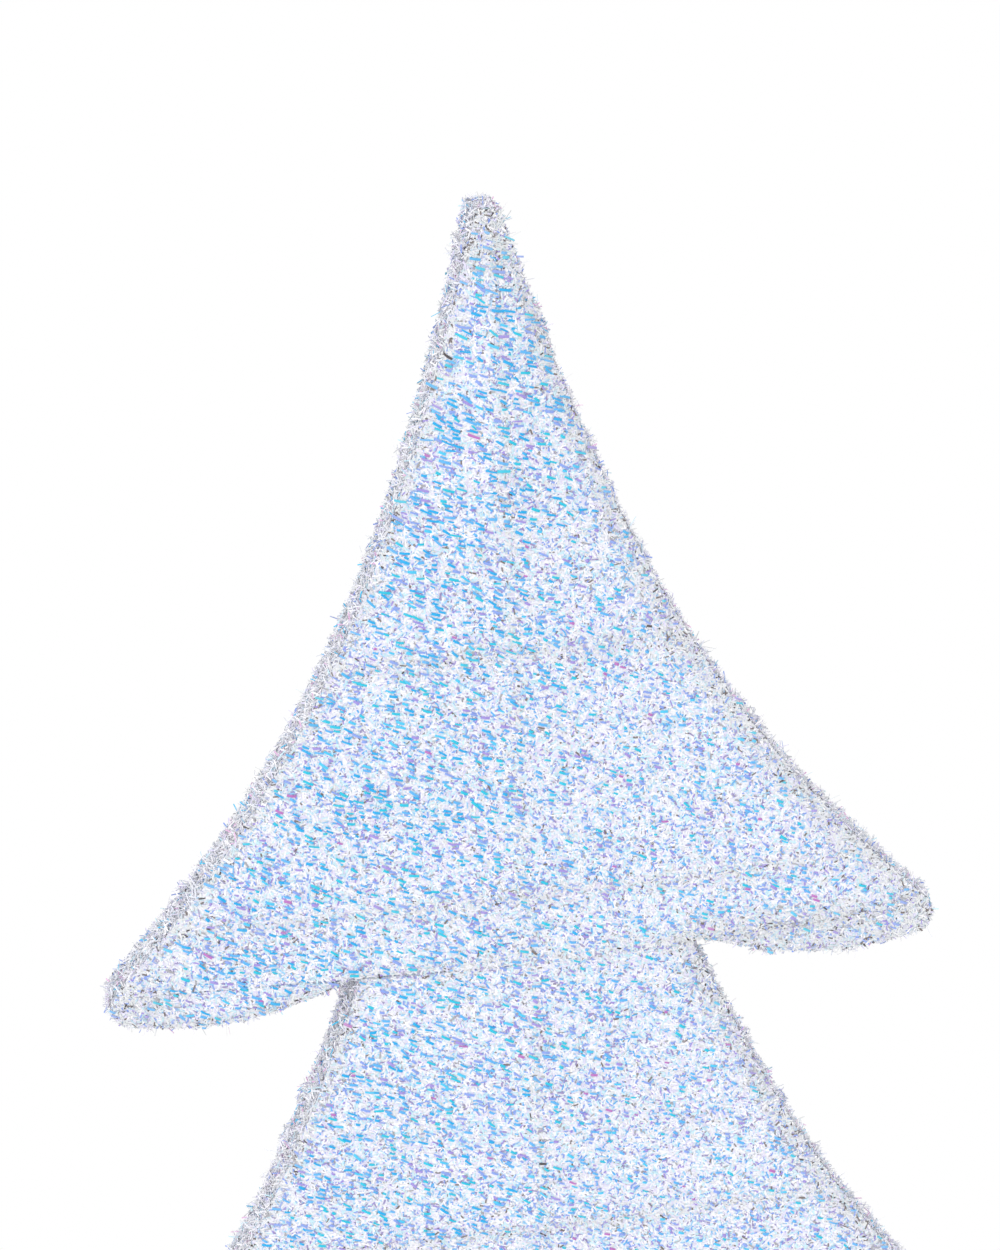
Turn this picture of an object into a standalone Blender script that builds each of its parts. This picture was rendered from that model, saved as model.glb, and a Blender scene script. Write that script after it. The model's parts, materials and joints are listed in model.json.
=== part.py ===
"""A flat, free-standing tree decoration: tinsel cloth over a wire frame with a string of lamps inside.

Metres, +Z up, the front towards -Y. The origin is on the floor, under the pole's axis.
"""

import math
from collections import namedtuple

import bmesh
import bpy
from mathutils import Vector

# Clearances that pieces share
GAP = 0.0003
OVERRUN = 0.002
WELD = 0.00001

# Tree outline, from the skirt up
BOTTOM_TIER_HEIGHT = 0.240
MIDDLE_TIER_HEIGHT = 0.238
TOP_TIER_HEIGHT = 0.316
APEX_HALF_WIDTH = 0.004
TOP_REACH = 0.172
MIDDLE_REACH = 0.228
BOTTOM_REACH = 0.285
TOP_NOTCH_HALF_WIDTH = 0.070
MIDDLE_NOTCH_HALF_WIDTH = 0.100
SKIRT_HALF_WIDTH = 0.060
NOTCH_RADIUS = 0.003
TIP_RADIUS = 0.0085
TIP_DROP = 0.001
BOUGH_SAG = 0.0075
FLARE_SHARES = (0.45, 0.375, 0.37)
TIP_START_ANGLE = math.radians(40)
TIP_END_ANGLE = math.radians(-75)
NOTCH_START_ANGLE = math.radians(71)
SEAM_ANGLE = math.radians(137)
NOTCH_END_ANGLE = math.radians(203)
SLOPE_STEPS = 10
ARC_STEPS = 5
UNDERSIDE_STEPS = 6

# Cloth and wire
HALF_DEPTH = 0.0105
CLOTH_THICKNESS = 0.001
WIRE_RADIUS = 0.00175
BEND_RADIUS = 0.0026
SPINE_END_MARGIN = 0.002
LOW_BRACE_RISE = 0.028
MIDDLE_BRACE_SHARES = (0.42, 0.49, 0.48)

# Lamp string
LEAD_RADIUS = 0.0007
LAMP_RADIUS = 0.0022
LAMP_LENGTH = 0.0062
LAMP_PITCH = 0.056
LEAD_TURN = 0.007
ROW_END_CLEARANCE = 0.0032
STRING_TAIL = 0.120

# Pole, sleeve and stand
TUBE_WALL = 0.0012
POLE_SHOW = 0.004
SLEEVE_DROP = 0.0604
SLEEVE_RISE = 0.008
POLE_ENGAGEMENT = 0.073
STOP_RING_HEIGHT = 0.005
STOP_RING_LIP = 0.0025
SOCKET_HEIGHT = 0.045
SOCKET_WALL = 0.0025
COLLAR_HEIGHT = 0.005
COLLAR_LIP = 0.006
BAR_LENGTH = 0.300
BAR_WIDTH = 0.022
BAR_THICKNESS = 0.003
BAR_CLEARANCE = 0.020
EYE_WALL = 0.009
FOOT_END_WALL = 0.0097
FOOT_SIDE_WALL = 0.0027
FOOT_GRIP = 0.020
FOOT_CROWN = 0.003
FOOT_ROUNDING = 0.003
SCREW_RADIUS = 0.0025
SCREW_DROP = 0.012
SCREW_STICKOUT = 0.007
KNOB_RADIUS = 0.006
KNOB_THICKNESS = 0.004
WING_REACH = 0.0105
WING_THICKNESS = 0.0024
WING_DEPTH = 0.008

# Battery case, behind the sleeve
CASE_CLEARANCE = 0.007
CASE_WALL = 0.0018
CASE_CORNER = 0.0012
CASE_STANDOFF = 0.0016
CLIP_WALL = 0.002
CLIP_RISE = 0.022
CLIP_HEIGHT = 0.018
CELL_RADIUS = 0.00715
CELL_LENGTH = 0.0492
CELL_NUB_RADIUS = 0.0026
CELL_NUB_LENGTH = 0.001
CELL_SPACE = 0.0004
LID_THICKNESS = 0.002
LID_LEDGE = 0.0005
LID_TONGUE = 0.0006
LID_RIB_HEIGHT = 0.0007
LID_RIB_WIDTH = 0.0012
LID_RIB_COUNT = 4
BAY_SPARE_DEPTH = 0.0021
CONTACT_THICKNESS = 0.0006
CONTACT_NUB = 0.0008
SPRING_RADIUS = 0.0045
SPRING_LENGTH = 0.007
SPRING_TIP_SHARE = 0.45
BOARD_BAY_HEIGHT = 0.0103
BOARD_THICKNESS = 0.0012
BOARD_MARGIN = 0.0008
SWITCH_BLOCK_WIDTH = 0.014
SLIDER_BODY_WIDTH = 0.0135
SLIDER_BODY_DEPTH = 0.0018
SLIDER_NECK_WIDTH = 0.003
SLIDER_NECK_HEIGHT = 0.0026
SLIDER_PROUD = 0.0014
SLIDER_TRAVEL = 0.0025

# Sides of round pieces
ROUND_STEPS = 32
SMALL_STEPS = 16

# Places worked out from the sizes above
WIRE_INSET = CLOTH_THICKNESS + GAP + WIRE_RADIUS
WIRE_Y = HALF_DEPTH - GAP - WIRE_RADIUS
SPINE_Y = WIRE_Y + WIRE_RADIUS + GAP + WIRE_RADIUS
CROWN_Y = SPINE_Y + WIRE_RADIUS + GAP
TAPE_HALF_WIDTH = HALF_DEPTH - GAP
SLEEVE_RADIUS = WIRE_Y - WIRE_RADIUS - GAP
SLEEVE_BORE = SLEEVE_RADIUS - TUBE_WALL
POLE_RADIUS = SLEEVE_BORE - GAP
SOCKET_BORE = POLE_RADIUS + GAP
SOCKET_RADIUS = SOCKET_BORE + SOCKET_WALL
LOWER_BAR_TOP = BAR_CLEARANCE + BAR_THICKNESS
UPPER_BAR_BOTTOM = LOWER_BAR_TOP + GAP
UPPER_BAR_TOP = UPPER_BAR_BOTTOM + BAR_THICKNESS
SOCKET_TOP = LOWER_BAR_TOP + GAP + SOCKET_HEIGHT
SCREW_HEIGHT = SOCKET_TOP - SCREW_DROP
SLEEVE_BOTTOM = SOCKET_TOP + POLE_SHOW + STOP_RING_HEIGHT + GAP
SKIRT_HEIGHT = SLEEVE_BOTTOM + SLEEVE_DROP
NOTCH_HEIGHTS = (
    SKIRT_HEIGHT + BOTTOM_TIER_HEIGHT + MIDDLE_TIER_HEIGHT,
    SKIRT_HEIGHT + BOTTOM_TIER_HEIGHT,
    SKIRT_HEIGHT,
)
APEX_HEIGHT = NOTCH_HEIGHTS[0] + TOP_TIER_HEIGHT
LEAD_X = SLEEVE_RADIUS + GAP + LEAD_RADIUS + GAP
ROW_Y = -(HALF_DEPTH - GAP - LAMP_RADIUS)
BEHIND_Y = -(WIRE_Y - WIRE_RADIUS - GAP - LEAD_RADIUS)
ROW_RISE = WIRE_RADIUS + GAP + LEAD_RADIUS
LAMP_RISE = WIRE_RADIUS + GAP + LAMP_RADIUS
LEAD_INSET = WIRE_INSET + WIRE_RADIUS + GAP + LEAD_RADIUS
CLIP_BORE = SLEEVE_RADIUS + GAP
CASE_FRONT = SLEEVE_RADIUS + CASE_STANDOFF
BAY_FRONT = CASE_FRONT + CASE_WALL
CELL_Y = BAY_FRONT + GAP + CELL_RADIUS
LID_INNER = CELL_Y + CELL_RADIUS + BAY_SPARE_DEPTH
CASE_BACK = LID_INNER + LID_THICKNESS
CELL_COUNT = 3
CELL_PITCH = 2 * CELL_RADIUS + CELL_SPACE
BAY_HEIGHT = 2 * (GAP + CELL_RADIUS) + (CELL_COUNT - 1) * CELL_PITCH
CASE_HEIGHT = BAY_HEIGHT + BOARD_BAY_HEIGHT + 3 * CASE_WALL
CASE_TOP = SKIRT_HEIGHT - CASE_CLEARANCE
CASE_BOTTOM = CASE_TOP - CASE_HEIGHT
BAY_BOTTOM = CASE_BOTTOM + CASE_WALL
BAY_TOP = BAY_BOTTOM + BAY_HEIGHT
BOARD_BAY_BOTTOM = BAY_TOP + CASE_WALL
BOARD_BAY_TOP = CASE_TOP - CASE_WALL
CELL_RUN = CELL_LENGTH + CELL_NUB_LENGTH + CONTACT_NUB + SPRING_LENGTH
BAY_HALF_WIDTH = CELL_RUN / 2 + CONTACT_THICKNESS + 2 * GAP
CASE_HALF_WIDTH = BAY_HALF_WIDTH + CASE_WALL
LID_WAY_Y = (LID_INNER - GAP, LID_INNER + LID_THICKNESS / 2 + GAP, CASE_BACK + OVERRUN)
LID_Y = (LID_INNER, LID_INNER + LID_THICKNESS / 2, CASE_BACK)

Tier = namedtuple("Tier", "name start notch_height tip notch_half flare brace_heights")


def on_circle(centre, radius, angle):
    return (centre[0] + radius * math.cos(angle), centre[1] + radius * math.sin(angle))


def notch_centre(half_width, height):
    return (half_width + NOTCH_RADIUS, height - NOTCH_RADIUS)


def make_tiers():
    """The three tiers from the top down, each with the point where its slope starts."""
    names = ("top", "middle", "bottom")
    reaches = (TOP_REACH, MIDDLE_REACH, BOTTOM_REACH)
    notch_halves = (TOP_NOTCH_HALF_WIDTH, MIDDLE_NOTCH_HALF_WIDTH, SKIRT_HALF_WIDTH)
    heights = (TOP_TIER_HEIGHT, MIDDLE_TIER_HEIGHT, BOTTOM_TIER_HEIGHT)
    start = (APEX_HALF_WIDTH, APEX_HEIGHT)
    tiers = []
    for index, name in enumerate(names):
        notch = NOTCH_HEIGHTS[index]
        tip = (reaches[index] - TIP_RADIUS, notch - TIP_DROP)
        braces = (notch + LOW_BRACE_RISE, notch + MIDDLE_BRACE_SHARES[index] * heights[index])
        tiers.append(Tier(name, start, notch, tip, notch_halves[index], FLARE_SHARES[index], braces))
        centre = notch_centre(notch_halves[index], notch)
        start = on_circle(centre, NOTCH_RADIUS, NOTCH_END_ANGLE)
    return tiers


TIERS = make_tiers()


def half_width_at(tier, height):
    """Half the tree's width on a tier's slope: a straight flare that opens out like a cube towards the tip."""
    end = on_circle(tier.tip, TIP_RADIUS, TIP_START_ANGLE)
    share = (tier.start[1] - height) / (tier.start[1] - end[1])
    return tier.start[0] + (end[0] - tier.start[0]) * ((1 - tier.flare) * share + tier.flare * share**3)


def slope_points(tier):
    end_height = on_circle(tier.tip, TIP_RADIUS, TIP_START_ANGLE)[1]
    heights = [
        tier.start[1] + (end_height - tier.start[1]) * step / SLOPE_STEPS for step in range(SLOPE_STEPS + 1)
    ]
    return [(half_width_at(tier, height), height) for height in heights]


CROWN_TOP = slope_points(TIERS[0])[1][1]


def arc_points(centre, radius, start, end, steps=ARC_STEPS):
    return [on_circle(centre, radius, start + (end - start) * step / steps) for step in range(steps + 1)]


def underside_points(tier):
    """The bough's lower edge between the tip and the notch, without its two ends."""
    start = on_circle(tier.tip, TIP_RADIUS, TIP_END_ANGLE)
    if tier.name == "bottom":
        end = (tier.notch_half, tier.notch_height)
    else:
        end = on_circle(notch_centre(tier.notch_half, tier.notch_height), NOTCH_RADIUS, NOTCH_START_ANGLE)
    points = []
    for step in range(1, UNDERSIDE_STEPS):
        share = step / UNDERSIDE_STEPS
        height = start[1] + (end[1] - start[1]) * share - BOUGH_SAG * math.sin(math.pi * share)
        points.append((start[0] + (end[0] - start[0]) * share, height))
    return points


def bough_points(tier):
    tip_arc = arc_points(tier.tip, TIP_RADIUS, TIP_START_ANGLE, TIP_END_ANGLE)
    return tip_arc[1:] + underside_points(tier)


def tier_edge(index):
    """The right edge of one tier's cloth from its upper seam to its lower one: (slope part, bough part)."""
    tier = TIERS[index]
    upper = []
    if index:
        above = TIERS[index - 1]
        centre = notch_centre(above.notch_half, above.notch_height)
        seam = SEAM_ANGLE + GAP / (NOTCH_RADIUS * abs(math.cos(SEAM_ANGLE)))
        upper = arc_points(centre, NOTCH_RADIUS, seam, NOTCH_END_ANGLE)[:-1]
    lower = bough_points(tier)
    if tier.name == "bottom":
        lower.append((tier.notch_half, tier.notch_height))
    else:
        centre = notch_centre(tier.notch_half, tier.notch_height)
        lower += arc_points(centre, NOTCH_RADIUS, NOTCH_START_ANGLE, SEAM_ANGLE)
    return upper + slope_points(tier), lower


def whole_edge():
    """The right half of the tree's outline from the apex to the middle of the skirt."""
    points = [(0, APEX_HEIGHT)]
    for tier in TIERS:
        points += slope_points(tier) + bough_points(tier)
        if tier.name != "bottom":
            centre = notch_centre(tier.notch_half, tier.notch_height)
            points += arc_points(centre, NOTCH_RADIUS, NOTCH_START_ANGLE, NOTCH_END_ANGLE)[:-1]
    return points + [(SKIRT_HALF_WIDTH, SKIRT_HEIGHT), (0, SKIRT_HEIGHT)]


def inset(points, distance):
    """Moves an open path that runs clockwise round the tree inwards, with mitred corners."""
    moved = []
    for index, point in enumerate(points):
        normals = []
        for first, second in ((index - 1, index), (index, index + 1)):
            if first < 0 or second >= len(points):
                continue
            along = Vector(points[second]) - Vector(points[first])
            normals.append(Vector((-along.y, along.x)).normalized())
        if len(normals) == 1:
            normals.append(normals[0])
        shift = (normals[0] + normals[1]) / (1 + normals[0].dot(normals[1]))
        moved.append((point[0] - shift.x * distance, point[1] - shift.y * distance))
    return moved


def wire_edge(distance):
    """The right half of the outline moved inwards, with a round bend at the apex in place of the cloth's point."""
    path = inset(whole_edge(), distance)
    first = next(i for i, point in enumerate(path) if point[0] > BEND_RADIUS and point[1] < APEX_HEIGHT - distance)
    inner, outer = path[first - 1], path[first]
    share = (BEND_RADIUS - inner[0]) / (outer[0] - inner[0]) if outer[0] != inner[0] else 0
    bend_height = inner[1] + (outer[1] - inner[1]) * share
    bend = arc_points((0, bend_height), BEND_RADIUS, math.pi / 2, 0)
    return bend + path[first:]


def material(name, colour, roughness, metallic=0.0):
    made = bpy.data.materials.get(name)
    if made:
        return made
    made = bpy.data.materials.new(name)
    made.use_nodes = True
    shader = made.node_tree.nodes["Principled BSDF"]
    shader.inputs["Base Color"].default_value = (*colour, 1)
    shader.inputs["Roughness"].default_value = roughness
    shader.inputs["Metallic"].default_value = metallic
    made.diffuse_color = (*colour, 1)
    return made


def cloth_material():
    return material("tinsel cloth", (0.80, 0.83, 0.93), 0.45)


def wire_material():
    return material("white coated steel", (0.85, 0.85, 0.84), 0.40)


def bar_material():
    return material("satin coated bar", (0.78, 0.78, 0.78), 0.45)


def plastic_material():
    return material("white plastic", (0.86, 0.86, 0.84), 0.35)


def rubber_material():
    return material("grey rubber", (0.30, 0.30, 0.31), 0.80)


def lamp_material():
    return material("clear lamp string", (0.82, 0.80, 0.74), 0.20)


def cell_material():
    return material("cell jacket", (0.35, 0.36, 0.38), 0.35, 0.6)


def contact_material():
    return material("nickel contact", (0.72, 0.70, 0.66), 0.25, 1.0)


def board_material():
    return material("circuit board", (0.10, 0.32, 0.16), 0.55)


def slider_material():
    return material("black slider", (0.05, 0.05, 0.05), 0.45)


def clear_scene():
    for item in list(bpy.data.objects):
        bpy.data.objects.remove(item, do_unlink=True)


def collection(name):
    made = bpy.data.collections.get(name)
    if made is None:
        made = bpy.data.collections.new(name)
        bpy.context.scene.collection.children.link(made)
    return made


def place(name, data, finish, group="light tree"):
    item = bpy.data.objects.new(name, data)
    collection(group).objects.link(item)
    if finish:
        data.materials.append(finish)
    return item


def mesh_from(shape, name):
    mesh = bpy.data.meshes.new(name)
    shape.to_mesh(mesh)
    shape.free()
    return mesh


def hide_cutter(item):
    item.hide_render = True
    item.display_type = "WIRE"
    return item


def box(name, low, high, finish, group="light tree"):
    """A block between two corners, with its origin at its middle."""
    shape = bmesh.new()
    bmesh.ops.create_cube(shape, size=1)
    size = [high[axis] - low[axis] for axis in range(3)]
    bmesh.ops.scale(shape, vec=size, verts=shape.verts)
    item = place(name, mesh_from(shape, name), finish, group)
    item.location = [(high[axis] + low[axis]) / 2 for axis in range(3)]
    return item


def extruded(name, outline, left, right, finish, group="light tree"):
    """A bar along X with the section given as (y, z) points."""
    shape = bmesh.new()
    near = [shape.verts.new((left, across, up)) for across, up in outline]
    far = [shape.verts.new((right, across, up)) for across, up in outline]
    shape.faces.new(near)
    shape.faces.new(far[::-1])
    for i in range(len(outline)):
        j = (i + 1) % len(outline)
        shape.faces.new((near[i], far[i], far[j], near[j]))
    bmesh.ops.recalc_face_normals(shape, faces=shape.faces)
    return place(name, mesh_from(shape, name), finish, group)


def cylinder(name, radius, bottom, top, finish, steps=ROUND_STEPS, group="light tree", tip_radius=None):
    """An upright cylinder or cone on the Z axis between two heights."""
    shape = bmesh.new()
    bmesh.ops.create_cone(
        shape,
        cap_ends=True,
        segments=steps,
        radius1=radius,
        radius2=radius if tip_radius is None else tip_radius,
        depth=top - bottom,
    )
    item = place(name, mesh_from(shape, name), finish, group)
    item.location = (0, 0, (top + bottom) / 2)
    return item


def ring(name, bore, radius, bottom, top, finish, steps=ROUND_STEPS):
    """A turned tube or washer on the Z axis: its section goes down outside and up inside."""
    shape = bmesh.new()
    section = ((radius, top), (radius, bottom), (bore, bottom), (bore, top))
    corners = [shape.verts.new((across, 0, up)) for across, up in section]
    for first, second in zip(corners, corners[1:] + corners[:1]):
        shape.edges.new((first, second))
    item = place(name, mesh_from(shape, name), finish)
    screw = item.modifiers.new("turned", "SCREW")
    screw.axis = "Z"
    screw.steps = screw.render_steps = steps
    screw.use_merge_vertices = True
    screw.merge_threshold = WELD
    return item


def wire(name, points, finish, radius=WIRE_RADIUS, closed=False, sides=2):
    """A round wire along points, as a curve with a bevel."""
    curve = bpy.data.curves.new(name, "CURVE")
    curve.dimensions = "3D"
    curve.bevel_depth = radius
    curve.bevel_resolution = sides
    curve.use_fill_caps = not closed
    spline = curve.splines.new("POLY")
    spline.points.add(len(points) - 1)
    for slot, point in zip(spline.points, points):
        slot.co = (*point, 1)
    spline.use_cyclic_u = closed
    return place(name, curve, finish)


def as_mesh(item):
    """Turns a curve object into a mesh object with its caps welded."""
    bpy.context.view_layer.update()
    graph = bpy.context.evaluated_depsgraph_get()
    mesh = bpy.data.meshes.new_from_object(item.evaluated_get(graph))
    shape = bmesh.new()
    shape.from_mesh(mesh)
    bmesh.ops.remove_doubles(shape, verts=shape.verts, dist=WELD)
    shape.to_mesh(mesh)
    shape.free()
    name, matrix = item.name, item.matrix_world.copy()
    groups = list(item.users_collection)
    bpy.data.objects.remove(item, do_unlink=True)
    made = bpy.data.objects.new(name, mesh)
    for group in groups:
        group.objects.link(made)
    made.matrix_world = matrix
    return made


def combine(target, other, operation):
    """Joins or cuts with a hidden helper, by an exact Boolean."""
    change = target.modifiers.new(f"{operation.lower()} {other.name}", "BOOLEAN")
    change.operation = operation
    change.solver = "EXACT"
    change.object = hide_cutter(other)
    return target


def round_edges(item, width, segments=2):
    bevel = item.modifiers.new("rounded edges", "BEVEL")
    bevel.width = width
    bevel.segments = segments
    bevel.limit_method = "ANGLE"
    return item


def thicken(item, thickness, offset):
    solid = item.modifiers.new("cloth thickness", "SOLIDIFY")
    solid.thickness = thickness
    solid.offset = offset
    solid.use_even_offset = True
    return item


def cloth_panel(index, side):
    """One tier's face: side is -1 in front and 1 behind. Its middle stands proud, over the upright wire."""
    slope, bough = tier_edge(index)
    shape = bmesh.new()
    edge = [shape.verts.new((x, side * HALF_DEPTH, z)) for x, z in slope]
    middle = [shape.verts.new((0, side * (CROWN_Y if z < CROWN_TOP + GAP else HALF_DEPTH), z)) for _, z in slope]
    faces = [
        (edge[i], edge[i + 1], middle[i + 1], middle[i]) for i in range(len(edge) - 1)
    ]
    lower = [shape.verts.new((x, side * HALF_DEPTH, z)) for x, z in bough]
    low_middle = shape.verts.new((0, side * CROWN_Y, bough[-1][1]))
    faces.append((edge[-1], *lower, low_middle, middle[-1]))
    for corners in faces:
        shape.faces.new(corners if side > 0 else corners[::-1])
    place_name = "front" if side < 0 else "back"
    name = f"{place_name}_cloth_{TIERS[index].name}"
    item = place(name, mesh_from(shape, name), cloth_material())
    mirror = item.modifiers.new("other half", "MIRROR")
    mirror.use_axis = (True, False, False)
    mirror.merge_threshold = WELD
    return thicken(item, CLOTH_THICKNESS, 1)


def cloth_tape(name, path):
    """A strip of side wall along a path that runs clockwise, as seen from the front."""
    shape = bmesh.new()
    near = [shape.verts.new((x, -TAPE_HALF_WIDTH, z)) for x, z in path]
    far = [shape.verts.new((x, TAPE_HALF_WIDTH, z)) for x, z in path]
    for i in range(len(path) - 1):
        shape.faces.new((near[i], near[i + 1], far[i + 1], far[i]))
    item = place(name, mesh_from(shape, name), cloth_material())
    return thicken(item, CLOTH_THICKNESS, -1)


def mirrored(path):
    return [(-x, z) for x, z in reversed(path)]


def make_cloth():
    for index in range(len(TIERS)):
        for side in (-1, 1):
            cloth_panel(index, side)
    slope, bough = tier_edge(0)
    right = slope + bough
    cloth_tape("side_tape_top", mirrored(right) + right)
    slope, bough = tier_edge(1)
    cloth_tape("side_tape_middle_right", slope + bough)
    cloth_tape("side_tape_middle_left", mirrored(slope + bough))
    slope, bough = tier_edge(2)
    tape_end = LEAD_X + LEAD_RADIUS + GAP
    right = slope + bough + [(tape_end, SKIRT_HEIGHT)]
    cloth_tape("side_tape_bottom_right", right)
    cloth_tape("side_tape_bottom_left", mirrored(right))


def brace_end(tier, height):
    """Where a level brace stops short of the outline wire on a slope."""
    step = WIRE_RADIUS
    lean = (half_width_at(tier, height - step) - half_width_at(tier, height + step)) / (2 * step)
    reach = (WIRE_INSET + WIRE_RADIUS + GAP) * math.sqrt(1 + lean * lean)
    return half_width_at(tier, height + step) - reach


def notch_brace(tier):
    """(half length, height) of the brace between the two bends of the outline wire at a notch."""
    centre = notch_centre(tier.notch_half, tier.notch_height)
    height = centre[1] + (NOTCH_RADIUS + WIRE_INSET) * math.sin(SEAM_ANGLE)
    clear = NOTCH_RADIUS + WIRE_INSET + WIRE_RADIUS + GAP
    rise = height - WIRE_RADIUS - centre[1]
    return centre[0] - math.sqrt(clear * clear - rise * rise), height


def level_brace(name, half_length, y, height):
    wire(name, [(-half_length, y, height), (half_length, y, height)], wire_material())


def make_frame():
    path = wire_edge(WIRE_INSET)
    loop = [(-x, z) for x, z in reversed(path[1:-1])] + path
    for name, side in (("front", -1), ("back", 1)):
        wire(f"{name}_outline_wire", [(x, side * WIRE_Y, z) for x, z in loop], wire_material(), closed=True)
        ends = [(0, side * SPINE_Y, CROWN_TOP - GAP), (0, side * SPINE_Y, SKIRT_HEIGHT + SPINE_END_MARGIN)]
        wire(f"{name}_upright_wire", ends, wire_material())
    for tier in TIERS:
        low, middle = tier.brace_heights
        level_brace(f"front_low_brace_{tier.name}", brace_end(tier, low), -WIRE_Y, low)
        level_brace(f"back_low_brace_{tier.name}", brace_end(tier, low), WIRE_Y, low)
        level_brace(f"front_middle_brace_{tier.name}", brace_end(tier, middle), -WIRE_Y, middle)
    for tier in TIERS[:-1]:
        half_length, height = notch_brace(tier)
        level_brace(f"front_notch_brace_{tier.name}", half_length, -WIRE_Y, height)
    make_spacers(path[0][1])


def make_spacers(apex_wire_height):
    """Short rods between the front and the back outline wire, at the apex and at each bough tip."""
    end = WIRE_Y - WIRE_RADIUS - GAP
    places = [("spacer_apex", 0, apex_wire_height)]
    for tier in TIERS:
        x = tier.tip[0] + TIP_RADIUS - WIRE_INSET
        places += [(f"spacer_{tier.name}_right", x, tier.tip[1]), (f"spacer_{tier.name}_left", -x, tier.tip[1])]
    for name, x, height in places:
        wire(name, [(x, -end, height), (x, end, height)], wire_material())


def row_end(tier, height):
    return brace_end(tier, height) - ROW_END_CLEARANCE


def climb(tier, low, high):
    """Lead points up the inner side of a slope between two heights, on the right."""
    points = []
    steps = 3
    for step in range(1, steps):
        height = low + (high - low) * step / steps
        points.append((row_end(tier, height), BEHIND_Y, height))
    return points


def past_notch(lower, upper):
    """Lead points from a lower tier's middle brace past the notch and out to the bough above, on the right."""
    centre = notch_centre(upper.notch_half, upper.notch_height)
    clear = NOTCH_RADIUS + LEAD_INSET + ROW_END_CLEARANCE
    points = climb(lower, lower.brace_heights[1], upper.notch_height - LOW_BRACE_RISE / 2)
    points.append((centre[0] - clear, BEHIND_Y, centre[1]))
    points.append((centre[0], BEHIND_Y, centre[1] + clear))
    lobe = (centre[0] + upper.tip[0]) / 2
    points.append((lobe, BEHIND_Y, centre[1] + clear))
    return points, (lobe, BEHIND_Y, centre[1] + clear)


def string_route():
    """(points, lamp centres): the lead from the case to its end near the apex, and the drops on it."""
    bottom = TIERS[2]
    low = bottom.brace_heights[0]
    feed_height = (low + SKIRT_HEIGHT) / 2
    first_end = row_end(bottom, low)
    route = [
        (LEAD_X, CELL_Y, CASE_TOP - CASE_WALL - LEAD_TURN / 2),
        (LEAD_X, CELL_Y, CASE_TOP + LEAD_TURN / 4),
        (LEAD_X, CELL_Y - LEAD_TURN / 2, CASE_TOP + LEAD_TURN / 2),
        (LEAD_X, LEAD_TURN, CASE_TOP + LEAD_TURN / 2),
        (LEAD_X, 0, CASE_TOP + LEAD_TURN),
        (LEAD_X, 0, feed_height - LEAD_TURN),
        (LEAD_X + LEAD_TURN, BEHIND_Y / 2, feed_height),
        (LEAD_X + LEAD_TURN * 3, BEHIND_Y, feed_height),
        (first_end - LEAD_TURN, BEHIND_Y, feed_height),
    ]
    lamps = []
    rows = []
    for tier in reversed(TIERS):
        rows += [(tier, tier.brace_heights[0]), (tier, tier.brace_heights[1])]
    side = 1
    for number, (tier, height) in enumerate(rows):
        end = row_end(tier, height)
        route += [
            (side * end, BEHIND_Y, height + ROW_RISE),
            (side * (end - LEAD_TURN), ROW_Y, height + ROW_RISE),
            (-side * (end - LEAD_TURN), ROW_Y, height + ROW_RISE),
            (-side * end, BEHIND_Y, height + LEAD_TURN),
        ]
        place_x = LAMP_PITCH / 2
        while place_x < end - LEAD_TURN - LAMP_LENGTH:
            lamps += [(place_x, ROW_Y, height + LAMP_RISE), (-place_x, ROW_Y, height + LAMP_RISE)]
            place_x += LAMP_PITCH
        side = -side
        if number + 1 == len(rows):
            break
        upper, next_height = rows[number + 1]
        if upper is tier:
            route += [(side * x, y, z) for x, y, z in climb(tier, height, next_height)]
        else:
            between, lobe = past_notch(tier, upper)
            route += [(side * x, y, z) for x, y, z in between]
            lamps.append((side * lobe[0], lobe[1], lobe[2]))
    tier, height = rows[-1]
    for share in (0.5, 1.0):
        up = height + STRING_TAIL * share
        route.append((side * row_end(tier, up), BEHIND_Y, up))
    lamps.append(route[-1])
    return route, lamps


def eased(points, reach=LEAD_TURN / 2):
    """Cuts each corner of a route with two points, so that the lead bends and doesn't kink."""
    eased_points = [Vector(points[0])]
    for before, corner, after in zip(points, points[1:], points[2:]):
        before, corner, after = Vector(before), Vector(corner), Vector(after)
        for end in (before, after):
            away = end - corner
            cut = min(reach, away.length / 3)
            eased_points.append(corner + away.normalized() * cut)
    eased_points.append(Vector(points[-1]))
    return [tuple(point) for point in eased_points]


def make_lamp_string():
    """One unbroken lead with the resin drops of its lamps moulded on."""
    route, lamps = string_route()
    lead = as_mesh(wire("lamp_string", eased(route), None, radius=LEAD_RADIUS, sides=1))
    lead.data.materials.append(lamp_material())
    shape = bmesh.new()
    for centre in lamps:
        drop = bmesh.ops.create_uvsphere(shape, u_segments=8, v_segments=6, radius=LAMP_RADIUS)["verts"]
        stretch = LAMP_LENGTH / (2 * LAMP_RADIUS)
        bmesh.ops.rotate(shape, verts=drop, cent=(0, 0, 0), matrix=turn_to_x())
        bmesh.ops.scale(shape, vec=(stretch, 1, 1), verts=drop)
        bmesh.ops.translate(shape, vec=centre, verts=drop)
    drops = place("lamp drops", mesh_from(shape, "lamp drops"), None, "cutters")
    combine(lead, drops, "UNION")


def turn_to_x():
    return Vector((0, 0, 1)).rotation_difference(Vector((1, 0, 0))).to_matrix()


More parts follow.
